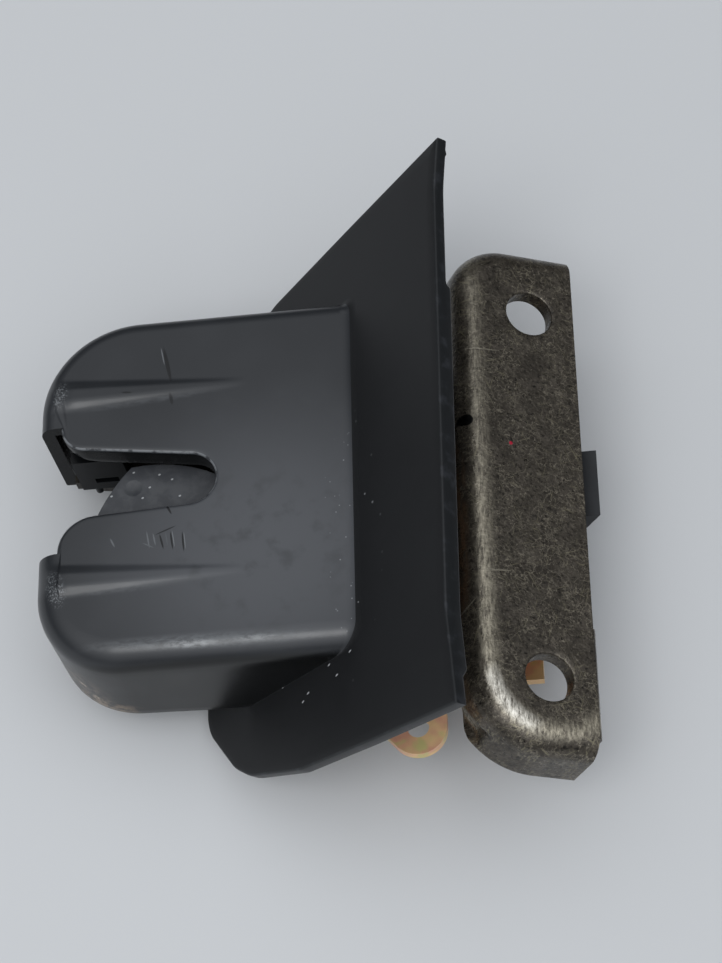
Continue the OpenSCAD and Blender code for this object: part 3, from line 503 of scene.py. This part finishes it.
def junction_fillet(shell):
    """Concave fillet where the hood meets the flange: quadratic curves tangent to both faces, with legs
    that grow from the side walls to the top face."""
    face = np.array([-1, 0, 1]) / ROOT2
    pieces = []
    for side in (1, -1):
        s = SIDE[side]
        turn = np.linspace(0, math.pi / 2, 14)
        down = np.linspace(0.3 - DEPTH, -s["edge"], 24)[:-1]
        y = np.concatenate([np.full_like(down, s["y"]), s["y"] - s["edge"] * (1 - np.cos(turn))]) * side
        z = np.concatenate([down, -s["edge"] * (1 - np.sin(turn))])
        up_part = np.concatenate([np.zeros_like(down), turn])
        n = np.stack([0 * y, side * np.cos(up_part), np.sin(up_part)], -1)
        leg = LEG_SIDE + LEG_TOP * smooth(up_part / (math.pi / 2))
        leg += LEG_CORNER * np.sin(2 * up_part) * np.sin(up_part)
        part = np.hstack([np.stack([JUNCTION + z, y, z], -1), n, leg[:, None]])
        pieces.append(part[::side])
    a, b = pieces[0][-1], pieces[1][0]
    path = np.vstack([pieces[0], a + (b - a) * np.linspace(0, 1, 40)[1:-1, None], pieces[1]])
    p, n, leg = path[:, :3], path[:, 3:6], path[:, 6:]
    cosine = np.sum(n * face, 1)[:, None]
    on_hood = (face - cosine * n) / np.sqrt(1 - cosine ** 2)
    on_face = (n - cosine * face) / np.sqrt(1 - cosine ** 2)
    rows = [p + leg * ((1 - u) ** 2 * on_hood + u ** 2 * on_face) for u in np.linspace(0, 1, 9)]
    buried = p - 0.35 * (n + face)
    strip = np.stack(rows + [buried], 1)
    shell.grid(strip, np.where(np.arange(len(rows) + 1) < 4, PLASTIC, FLANGE), close_v=True)
    shell.cap(strip[0])
    shell.cap(strip[-1])


def post(shell, x, y, low, high, r, slot):
    """Upright round post between two heights, closed at both ends."""
    t = np.linspace(0, TAU, 32, endpoint=False)
    rings = [np.stack([x + r * np.cos(t), y + r * np.sin(t), np.full_like(t, z)], -1)
             for z in (low, high)]
    shell.grid(np.stack(rings), slot, close_v=True)
    shell.cap(rings[0], slot)
    shell.cap(rings[1], slot)


# ---- bracket: sizes in millimetres in its own frame, u down its slope, n out of its face
TILT = math.radians(27)
BRACKET_AT = np.array([48.0, 0, -8.0])
FRONT, REAR, END_N, END_S = 2.5, 26.4, 52.7, -51.8
ROUND_N, ROUND_S, BEND, SHEET, DROP = 11.0, 16.0, 4.5, 3.2, 13.0
BOLT_U, BOLT_Y, BOLT_R, BOLT_EDGE = 17.4, 37.9, 4.6, 0.4
PATCH = 27.0                 # y of the lines that part each bolt hole's patch of the face from the middle
OPEN_TOP, OPEN_Y, OPEN_HALF = -21.1, 1.0, 28.5    # the wall ends at this height where the foot passes
RECESS_Y, RECESS_Z, RECESS_DEPTH = (-48.5, -33.0), (-22.4, -16.8), 2.1    # room for the lever's lug


def bracket_frame(u, y, n):
    """Bracket coordinates to the row's."""
    return np.stack([BRACKET_AT[0] + u * math.cos(TILT) + n * math.sin(TILT), y,
                     BRACKET_AT[2] - u * math.sin(TILT) + n * math.cos(TILT)], -1)


def bracket_row(inset):
    """Plan of the pan's outline set in by inset, from the rear end on +Y round the front to that on -Y."""
    q = np.linspace(0, math.pi / 2, 30)
    k_n = np.array([FRONT + ROUND_N, END_N - ROUND_N])
    k_s = np.array([FRONT + ROUND_S, END_S + ROUND_S])
    r_n, r_s = ROUND_N - inset, ROUND_S - inset
    rear_n = np.stack([np.linspace(REAR, k_n[0], 18)[:-1], np.full(17, END_N - inset)], -1)
    arc_n = np.stack([k_n[0] - r_n * np.sin(q), k_n[1] + r_n * np.cos(q)], -1)
    level = np.concatenate([np.linspace(k_n[1], PATCH, 14)[1:-1], np.linspace(PATCH, -PATCH, 60),
                            np.linspace(-PATCH, k_s[1], 10)[1:-1]])
    front = np.stack([np.full_like(level, FRONT + inset), level], -1)
    arc_s = np.stack([k_s[0] - r_s * np.cos(q), k_s[1] - r_s * np.sin(q)], -1)
    rear_s = np.stack([np.linspace(k_s[0], REAR, 12)[1:], np.full(11, END_S + inset)], -1)
    return np.vstack([rear_n, arc_n, front, arc_s, rear_s])


def bracket_walls():
    """Rows of the pan's bend and wall as [u, v]: over a quarter-circle bend, down, and up inside. The rows
    stop short over the foot and are set in, with eased edges, at the recess for the lever's lug."""
    turn = np.radians(np.linspace(90, 0, 10))
    rows = [(BEND * (1 - math.cos(a)), BEND * (math.sin(a) - 1)) for a in turn]
    rows += [(0, n) for n in np.linspace(-BEND, 0.4 - DROP, 24)[1:]]
    rows += [(0.12, 0.12 - DROP), (0.4, -DROP), (SHEET - 0.4, -DROP), (SHEET - 0.1, 0.12 - DROP),
             (SHEET, 0.4 - DROP)]
    rows += [(SHEET, n) for n in (-10, -7)]
    small = BEND - SHEET
    rows += [(BEND - small * math.cos(a), small * math.sin(a) - BEND)
             for a in np.radians((0, 30, 60, 90))]
    out = []
    for inset, n in rows:
        plan = bracket_row(inset)
        p = bracket_frame(plan[:, 0], plan[:, 1], np.full(len(plan), float(n)))
        opening = np.abs(plan[:, 1] - OPEN_Y) < OPEN_HALF
        cut = (OPEN_TOP - BRACKET_AT[2] + math.sin(TILT) * plan[:, 0]) / math.cos(TILT)
        level = np.where(opening, np.maximum(n, cut), n)
        if inset < 1:
            recess = RECESS_DEPTH * between(plan[:, 1], *RECESS_Y, 3) * between(p[:, 2], *RECESS_Z, 1.4)
            plan = plan + (bracket_row(inset + 1) - plan) * recess[:, None]
        out.append(bracket_frame(plan[:, 0], plan[:, 1], level))
    return np.stack(out, 1)


def bracket_face(shell, level, r):
    """The flat between the bends at one level: a patch round each bolt hole, ruled from the hole's rim to
    its edges, and a plain middle. Gives back each hole's centre and the directions of its rim's points."""
    plan = bracket_row(BEND)
    first = np.where(np.abs(plan[:, 1] - PATCH) < 1e-6)[0][0]
    last = np.where(np.abs(plan[:, 1] + PATCH) < 1e-6)[0][0]
    cross = np.linspace(FRONT + BEND, REAR, 14)
    rims = {}
    for side, part in ((1, plan[:first + 1]), (-1, plan[last:][::-1])):
        y_end = part[0, 1]
        ys = np.linspace(PATCH * side, y_end, 20)
        loop = np.vstack([part, np.stack([cross[1:], np.full(13, PATCH * side)], -1),
                          np.stack([np.full(18, REAR), ys[1:-1]], -1)])
        centre = np.array([BOLT_U, BOLT_Y * side])
        out = loop - centre
        spoke = out / np.linalg.norm(out, axis=1)[:, None]
        grid = ruled(centre + r * spoke, loop, 10)
        shell.grid(bracket_frame(grid[..., 0], grid[..., 1], np.full(grid.shape[:2], level)), close_u=True)
        rims[side] = (centre, spoke)
    middle = plan[first:last + 1]
    grid = middle[:, None] + (cross - FRONT - BEND)[None, :, None] * np.array([1.0, 0])
    shell.grid(bracket_frame(grid[..., 0], grid[..., 1], np.full(grid.shape[:2], level)))
    return rims


def bracket(shell):
    """Pressed pan with two bolt holes: bend and wall, both faces, the holes' bores and the rear edge."""
    walls = bracket_walls()
    shell.grid(walls)
    shell.cap(walls[0])
    shell.cap(walls[-1])
    rims = bracket_face(shell, 0.0, BOLT_R + BOLT_EDGE)
    bracket_face(shell, -SHEET, BOLT_R)
    for centre, spoke in rims.values():
        steps = [(BOLT_R + BOLT_EDGE * (1 - math.sin(a)), BOLT_EDGE * (math.cos(a) - 1))
                 for a in np.radians((0, 30, 60, 90))]
        steps += [(BOLT_R, n) for n in (-1.8, -SHEET)]
        shell.grid(np.stack([bracket_frame(*(centre + r * spoke).T, np.full(len(spoke), float(n)))
                             for r, n in steps], 1), close_u=True)
    rear = np.concatenate([np.linspace(END_N - BEND, PATCH, 20), np.linspace(PATCH, -PATCH, 60)[1:-1],
                           np.linspace(-PATCH, END_S + BEND, 20)])
    edge = [bracket_frame(np.full_like(rear, REAR), rear, np.full_like(rear, n)) for n in (0.0, -SHEET)]
    shell.grid(np.stack(edge, 1))


def bracket_extras(shell):
    """Two bars joined to the pan: the lip on its rear edge, and the foot that carries the latch."""
    lip = rounded([(REAR - 0.3, -0.6, 0), (REAR + 0.4, -0.6, 0.3), (REAR + 1.0, -1.4, 0.5),
                   (REAR + 1.0, -9.0, 0.3), (REAR - 0.3, -9.0, 0)])
    prism(shell, lip, -48.5, -27.0, bracket_frame)
    foot = rounded([(36.6, -21.2, 0.4), (36.6, -18.0, 0.4), (45.7, -18.0, 0), (47.4, -20.0, 0),
                    (46.8, -21.2, 0)])
    prism(shell, foot, -27.0, 27.0, lambda x, y, z: np.stack([x, y, z], -1))


# ---- materials, each named for the real stuff and how it was made, and for any light or shade painted into it
# Grain and scratches finer than about 0.3 mm would not show at this size, so they are drawn that wide.
# A rubbed patch, painted highlight, scuff or patch of soil is given by its place and half lengths, then a
# turn, a colour or both. A scratch is given by its two ends and its width, then a colour where they differ.
# All are in mm.
# The first three, a band along the -Y edge's rounding and two short streaks in it, are rubbed wear and
# painted highlight together; the fourth and fifth are painted highlights along the -Y flank of each rib; the
# last is a rubbed spot among the scratches.
COVER_RUBS_AND_HIGHLIGHTS = (
    ((4, -32.7), (27, 1.7), -1, "#515457"), ((1.5, -33.0), (6, 0.9), -1, "#7c7f81"),
    ((13, -32.9), (5, 0.7), -1, "#6b6e70"), ((-7, -21.3), (16, 1.0), 3.5, "#45474a"),
    ((-7, 16.8), (17, 0.8), 4.5, "#3a3c3f"), ((-5.6, -12.2), (2.6, 2.6), 0, "#3d3f42"),
)
RIB_SCUFFS = (((-23.3, -20.5), (2.3, 4.6), 12), ((-23.6, 19.4), (1.8, 3.6), -12))
SOIL = (
    ((-21.5, -31, -17), (8, 8, 10), "#544a41"), ((-19, -34, -21), (10, 5, 4), "#7a6a59"),
    ((-21.3, -32.4, -15), (1.1, 1.1, 1.0), "#b3a390"), ((-19.6, -33.9, -18.5), (1.3, 1.2, 1.0), "#c0ad98"),
)
SCRATCHES = (
    ((-4.3, 28.7), (-2.5, 19.8), 0.9, "#131416"), ((-4.75, 28.4), (-3.9, 24), 0.3, "#5d6063"),
    ((-2.9, 18.4), (-2.3, 15.4), 0.8, "#1c1d1f"), ((-12.1, 18.9), (-9.8, 18.7), 0.5, "#131416"),
    ((-4.4, -10.8), (-3.5, -14.4), 0.45, "#151618"), ((-2.4, -10.4), (-1.8, -14.7), 0.45, "#151618"),
    ((-0.2, -10.6), (0.2, -15.3), 0.45, "#151618"), ((-5.5, -11.3), (-1.0, -9.5), 0.35, "#1a1b1d"),
    ((-3.4, -4.8), (-2.1, -7.4), 0.5, "#101113"), ((-2.1, -10.2), (-1.5, -14.2), 0.25, "#66696c"),
    ((0.1, -10.8), (0.5, -14.8), 0.25, "#66696c"), ((-6.8, -10), (-6.1, -14), 0.35, "#5c5f62"),
    ((-5.6, -10.6), (-5.0, -13.5), 0.35, "#5c5f62"), ((-7.6, -12.5), (-5.2, -13.8), 0.3, "#54575a"),
    ((-13.5, -11), (-12.5, -13.1), 0.4, "#5c5f62"), ((-3.3, -10.6), (-2.8, -13.6), 0.25, "#4e5154"),
)
FLANGE_SPECKS = ((29.7, -36.5), (15.4, -35.9), (20.8, -39.9), (19.7, -41), (26.9, -39.6), (25.3, -36.8))
BRACKET_SCRATCHES = (
    ((3.1, 28.2), (11.4, 28.5), 0.35), ((4.9, -18.1), (11.5, -17.8), 0.35),
    ((0.9, -28), (4.7, -23.1), 0.3),
)
CLAW_FLECKS = ((-15.1, 1.3), (-11, 5.9), (-7.9, 2.5), (-3.7, 3.8), (-2.2, 0.2), (-9.2, 0.4), (-6.1, 5))


def cover_satin():
    """Moulded polypropylene: near black with a broad dull sheen, rubbed and scratched by use, with a painted
    sheen on the top, painted highlights on the ribs and the -Y edge, and painted shade on the -Y wall.
    """
    f = Finish("polypropylene, moulded satin black", "#26282b", 0.33, Specular_IOR_Level=0.45)
    f.tint("#2b2d30", f.mottle(22, 0.35, 0.7, 2))
    f.polish(0.28, f.mottle(9, 0.35, 0.7))
    # Painted sheen: a broad lighter patch over the top, towards -Y, broken by darker blotches.
    f.tint("#4d4f53", f.mark((15, -15, 3), (44, 42, 7), 0, 0.7))
    f.tint("#3c3e41", f.mottle(5, 0.5, 0.72, 4), f.mark((15, -15, 3), (44, 42, 7), 0, 0.7))
    # Painted shade: the -Y wall and the lower part of its edge darker.
    f.tint("#0b0c0d", f.mark((2, -37, -14), (50, 12, 13), 0, 0.3))
    # Painted shade: a deep black band along the lower part of the -Y edge's rounding.
    f.tint("#050606", f.mark((4, -35.6, -5.2), (46, 3, 3.4), 0, 0.5))
    f.relief(f.mottle(0.35, 0, 1, 2), 0.012)
    rub_and_highlight = f.mottle(0.7, 0.3, 0.65, 4, stretch=(2.5, 1, 1), rough=0.65)
    # Rubbed wear and painted highlights, broken up by one mottle.
    for at, half, turn, colour in COVER_RUBS_AND_HIGHLIGHTS:
        f.tint(colour, f.mark(at, half, turn, 0.7), rub_and_highlight)
    grit = f.mottle(0.32, 0.5, 0.62, 4)
    for at, half, turn in RIB_SCUFFS:
        f.tint("#696c6f", f.mark(at, half, turn, 0.6), grit)
    soil = f.mottle(1.6, 0.4, 0.62, 5, rough=0.7)
    for at, half, colour in SOIL:
        f.tint(colour, f.mark(at, half, 0, 0.6), soil)
    for a, b, width, colour in SCRATCHES:
        cut = f.scratch(a, b, width)
        f.tint(colour, cut)
        f.polish(0.6, cut)
    f.tint("#77797c", f.specks(0.9, 0.38), f.mark((29.5, -14), (5, 26), 0, 0.5))
    return f.done()


def cover_gloss():
    """The same moulding from a polished part of the tool, in the mouth's collar: deep, with a tight shine."""
    f = Finish("polypropylene, moulded glossy black", "#090a0b", 0.22, Specular_IOR_Level=0.14)
    f.polish(0.32, f.mottle(3, 0.4, 0.75))
    return f.done()


def painted_edge_line():
    """Painted highlight: a broken pale line on rounded edges of the moulding, at the mouth and along the -Y
    wall's foot.
    """
    f = Finish("polypropylene, painted edge highlight", "#6a6d70", 0.35)
    f.tint("#2b2d30", f.mottle(1.2, 0.46, 0.64, 4))
    return f.done()


def flange_satin():
    """Trim flange, finer grain than the hood, with a base darker than the hood's as painted shade, and a few
    white dust specks.
    """
    # Painted shade: the hood's plastic given a darker base on the flange.
    f = Finish("polypropylene, moulded grained black", "#111214", 0.5, Specular_IOR_Level=0.35)
    f.tint("#141517", f.mottle(16, 0.35, 0.7))
    f.relief(f.mottle(0.3, 0, 1, 2), 0.01)
    for at in FLANGE_SPECKS:
        f.tint("#9c9ea0", f.mark(at, (0.34, 0.2), 30))
    f.tint("#77797b", f.specks(1.6, 0.2), f.mark((29, -16), (9, 30), 0, 0.5))
    return f.done()


def rim_satin():
    """Rim of the flange: the same plastic with a base darker than the hood's as painted shade, but lighter
    than the flange's face.
    """
    f = Finish("polypropylene, rim, painted shade", "#1a1c1e", 0.42, Specular_IOR_Level=0.35)
    f.tint("#2b2d31", f.mottle(2.5, 0.5, 0.72, 4))
    return f.done()


def phosphated(name, base, light, dark, fleck):
    """Pressed steel, phosphated and oiled: a brown-black mottle with a greasy shine, laid in the bracket's
    own frame."""
    f = Finish(name, base, 0.36, 0.6)
    f.place = node(f.tree, "ShaderNodeMapping", CENTRED, Vector=f.place,
                   Location=(BRACKET_AT * MM).tolist(), Rotation=(0, TILT, 0)).outputs[0]
    f.tint(light, f.mottle(4, 0.42, 0.66, 5, rough=0.7))
    f.tint(dark, f.mottle(0.9, 0.5, 0.66, 4, rough=0.7))
    f.tint(fleck, f.mottle(0.6, 0.58, 0.7, 3, rough=0.7))
    f.polish(0.24, f.mottle(1.3, 0.4, 0.65, 4))
    return f


def bracket_finish():
    """Bracket steel with its front bend rubbed bright under a painted highlight, a painted glint at its -Y
    corner, a black spot of painted shade at the tooling hole, and one red paint fleck. The curled scratches
    are the narrow band where a mottle passes its middle, the straight ones a mottle drawn out long."""
    f = phosphated("steel, phosphated and oiled, rubbed bend", "#443f38", "#58524a", "#26231f", "#7b7568")
    f.relief(f.mottle(0.7, 0.3, 0.7, 4), 0.05, 0.6)
    handled = f.mottle(7, 0.35, 0.55)
    for size in (1.7, 2.6):
        f.tint("#857e70", handled, f.mottle(size, 0.487, 0.5, 2), f.mottle(size, 0.513, 0.5, 2))
    for turn, long in ((20, 24), (75, 18), (118, 30), (160, 14)):
        f.tint("#77715f", handled, f.mottle(0.3, 0.66, 0.74, 1, stretch=(long, 1, 8), turn=turn))
    part = node(f.tree, "ShaderNodeSeparateXYZ", Vector=f.place)
    u, y = part.outputs[0], part.outputs[1]
    plan = node(f.tree, "ShaderNodeCombineXYZ", X=u, Y=y).outputs[0]
    corner = ((FRONT + ROUND_S) * MM, (END_S + ROUND_S) * MM, 0)
    far = {"operation": "DISTANCE"}
    reach = node(f.tree, "ShaderNodeVectorMath", far, i0=plan, i1=corner).outputs["Value"]
    less = {"operation": "SUBTRACT"}
    straight = node(f.tree, "ShaderNodeMath", less, i0=u, i1=FRONT * MM).outputs[0]
    curved = node(f.tree, "ShaderNodeMath", less, i0=ROUND_S * MM, i1=reach).outputs[0]

    def eased(steps):
        """Masks that rise from least to 1 as a value goes from low to high, in mm."""
        return [node(f.tree, "ShaderNodeMapRange", EASED, Value=value, From_Min=low * MM,
                     From_Max=high * MM, To_Min=least).outputs[0] for value, low, high, least in steps]

    round_corner, along = eased(((y, -34, -38, 0.0), (y, 40, -40, 0.45)))
    inset = node(f.tree, "ShaderNodeMix", {"data_type": "FLOAT"}, i0=round_corner, i2=straight,
                 i3=curved).outputs[0]
    wide_in, wide_out, narrow_in, narrow_out = eased((
        (inset, 1.2, 3.2, 0.0), (inset, 6.6, 3.4, 0.0), (inset, 1.8, 3.4, 0.0), (inset, 5.8, 4.0, 0.0)))
    streak = f.mottle(0.5, 0.3, 0.68, 5, stretch=(1, 5, 1), rough=0.72)
    # The front bend's pale band: rubbed bare steel and painted highlight together, fuller towards -Y.
    worn_and_highlit = f.where(wide_in, wide_out, streak, along)
    f.tint("#6b5440", f.mark((2.0, -10), (2.0, 26), 0, 0.5), f.mottle(2, 0.35, 0.6, 4, stretch=(1, 3, 1)))
    f.tint("#b9b19e", worn_and_highlit)
    # Painted highlight: a bright glint along the middle of the bend at the -Y front corner.
    f.tint("#f2eee4", narrow_in, narrow_out, streak, f.mark((8, -44.5), (9, 9), 0, 0.5))
    f.polish(0.3, worn_and_highlit)
    for a, b, width in BRACKET_SCRATCHES:
        f.tint("#8f897b", f.scratch(a, b, width))
    # Painted shade: a black spot standing for the tooling hole in the front bend, which the shell does not
    # cut.
    f.tint("#060606", f.mark((3.9, 13), (1.25, 1.25), 0, 0.12))
    f.tint("#d2304a", f.mark((12.2, 8.8), (0.4, 0.45), 0, 0.3))
    return f.done()


def plate_steel():
    """Phosphated plate of the mechanism, darker than the bracket and not rubbed."""
    return phosphated("steel, phosphated plate", "#35322e", "#454038", "#211e1b", "#4d483f").done()


def bright(name, colour, rough):
    """Bare machined, drawn or tinned metal: a clean grey shine, clouded a little."""
    f = Finish(name, colour, rough, 1.0)
    f.polish(rough + 0.12, f.mottle(1.5, 0.35, 0.7))
    return f.done()


def zinc():
    """Steel, zinc plated and yellow passivated: gold that drifts to pink and green."""
    f = Finish("steel, yellow passivated zinc", "#f2cb96", 0.34, 0.45)
    f.tint("#e6ab8e", f.mottle(6, 0.42, 0.62, 2))
    f.tint("#d6c988", f.mottle(4, 0.55, 0.75, 2, turn=30))
    f.polish(0.45, f.mottle(1.2, 0.4, 0.7))
    return f.done()


def claw_jacket():
    """Overmoulded polyamide: dull grey, with rubbing dust and small pale flecks left by the striker."""
    f = Finish("polyamide, overmoulded jacket", "#34363a", 0.5)
    f.tint("#424447", f.mottle(4, 0.42, 0.66, 4, rough=0.65))
    f.relief(f.mottle(0.5, 0, 1), 0.02)
    for at in CLAW_FLECKS:
        f.tint("#9c9ea0", f.mark(at, (0.3, 0.22), 25))
    return f.done()


def moulded(name, colour, rough, light, shine=0.4):
    """Plain moulding in plastic or rubber: even, with a slight drift of tone and a fine grain."""
    f = Finish(name, colour, rough, Specular_IOR_Level=shine)
    f.tint(light, f.mottle(5, 0.35, 0.7))
    f.relief(f.mottle(0.3, 0, 1, 2), 0.01)
    return f.done()


finish = {
    "cover_plastic": cover_satin(),
    "bracket_steel": bracket_finish(),
    "plate_steel": plate_steel(),
    "bright_steel": bright("steel, machined bright", "#a2a2a0", 0.3),
    "yellow_zinc": zinc(),
    "claw_plastic": claw_jacket(),
    "black_plastic": moulded("polyamide, moulded black", "#1c1e21", 0.42, "#222427"),
    "rubber": moulded("rubber, moulded black", "#161616", 0.75, "#1c1c1c"),
    "spring_steel": bright("spring steel, drawn wire", "#808080", 0.28),
    "contact": bright("brass, tinned", "#cfcfc6", 0.28),
}
guide_black = moulded("acetal, moulded glossy black", "#08090a", 0.25, "#0d0e10", 0.2)


# ---- pieces
for part in frame["record"]["subparts"]:
    materials = frame["nodes"][part["node"]].data.materials
    materials.clear()
    materials.append(guide_black if part["node"] == "mouth_guide" else finish[part["material_slot"]])

shell = Shell()
hood(shell)
flange(shell)
junction_fillet(shell)
for x, y in BOSSES:
    post(shell, x, y, BOSS_LOW, BOSS_SEAT - WALL, BOSS_R, GLOSS)
cover_finishes = [finish["cover_plastic"], cover_gloss(), flange_satin(), rim_satin(), painted_edge_line()]
cover_piece = shell.build("cover_shell", cover_finishes)
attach(cover_piece, "frame")
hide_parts("cover")

shell = Shell()
bracket(shell)
bracket_extras(shell)
bracket_piece = shell.build("bracket_shell", [finish["bracket_steel"]])
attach(bracket_piece, "frame")
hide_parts("mounting_bracket")


# ---- stage: pale floor square to the photograph's, and soft light from overhead
FLOOR_LEAN = math.radians(12)
floor_up = Vector((math.sin(FLOOR_LEAN), 0, math.cos(FLOOR_LEAN)))
floor_at = Vector((46, -20, -46)) * MM
floor_finish = Finish("painted board, matt", "#c9cbcd", 0.6)
bpy.ops.mesh.primitive_circle_add(vertices=96, radius=0.6, fill_type="NGON", location=floor_at)
floor = bpy.context.object
floor.name = "floor"
floor.rotation_euler = floor_up.to_track_quat("Z", "Y").to_euler()
floor.data.materials.append(floor_finish.done())

SKY_BRIGHTEST = (0.05, -0.3, 0.953)    # direction of the brightest part of the overcast sky
world = bpy.data.worlds.new("overcast")
bpy.context.scene.world = world
world.use_nodes = True
sky = world.node_tree
direction = node(sky, "ShaderNodeTexCoord").outputs["Generated"]
height = node(sky, "ShaderNodeVectorMath", {"operation": "DOT_PRODUCT"}, i0=direction, i1=SKY_BRIGHTEST)
level = node(sky, "ShaderNodeMapRange", EASED, Value=height.outputs["Value"], From_Min=0.25,
             From_Max=1.0, To_Min=0.05, To_Max=1.5)
background = sky.nodes["Background"]
background.inputs["Color"].default_value = linear("#f4f7fb")
sky.links.new(level.outputs[0], background.inputs["Strength"])


def lamp(name, place, aim, size, power):
    """One rectangular area lamp at a place in metres, aimed at a point; power in watts."""
    d = bpy.data.lights.new(name, "AREA")
    d.shape = "RECTANGLE"
    d.size, d.size_y = size
    d.energy = power
    o = bpy.data.objects.new(name, d)
    o.location = Vector(place)
    o.rotation_euler = (Vector(aim) - Vector(place)).to_track_quat("-Z", "Y").to_euler()
    bpy.context.scene.collection.objects.link(o)


lamp("window", (-0.08, -0.46, 0.93), (0.02, 0, 0), (0.4, 0.4), 2.4)

bpy.context.scene.view_settings.view_transform = "Standard"
bpy.context.view_layer.update()
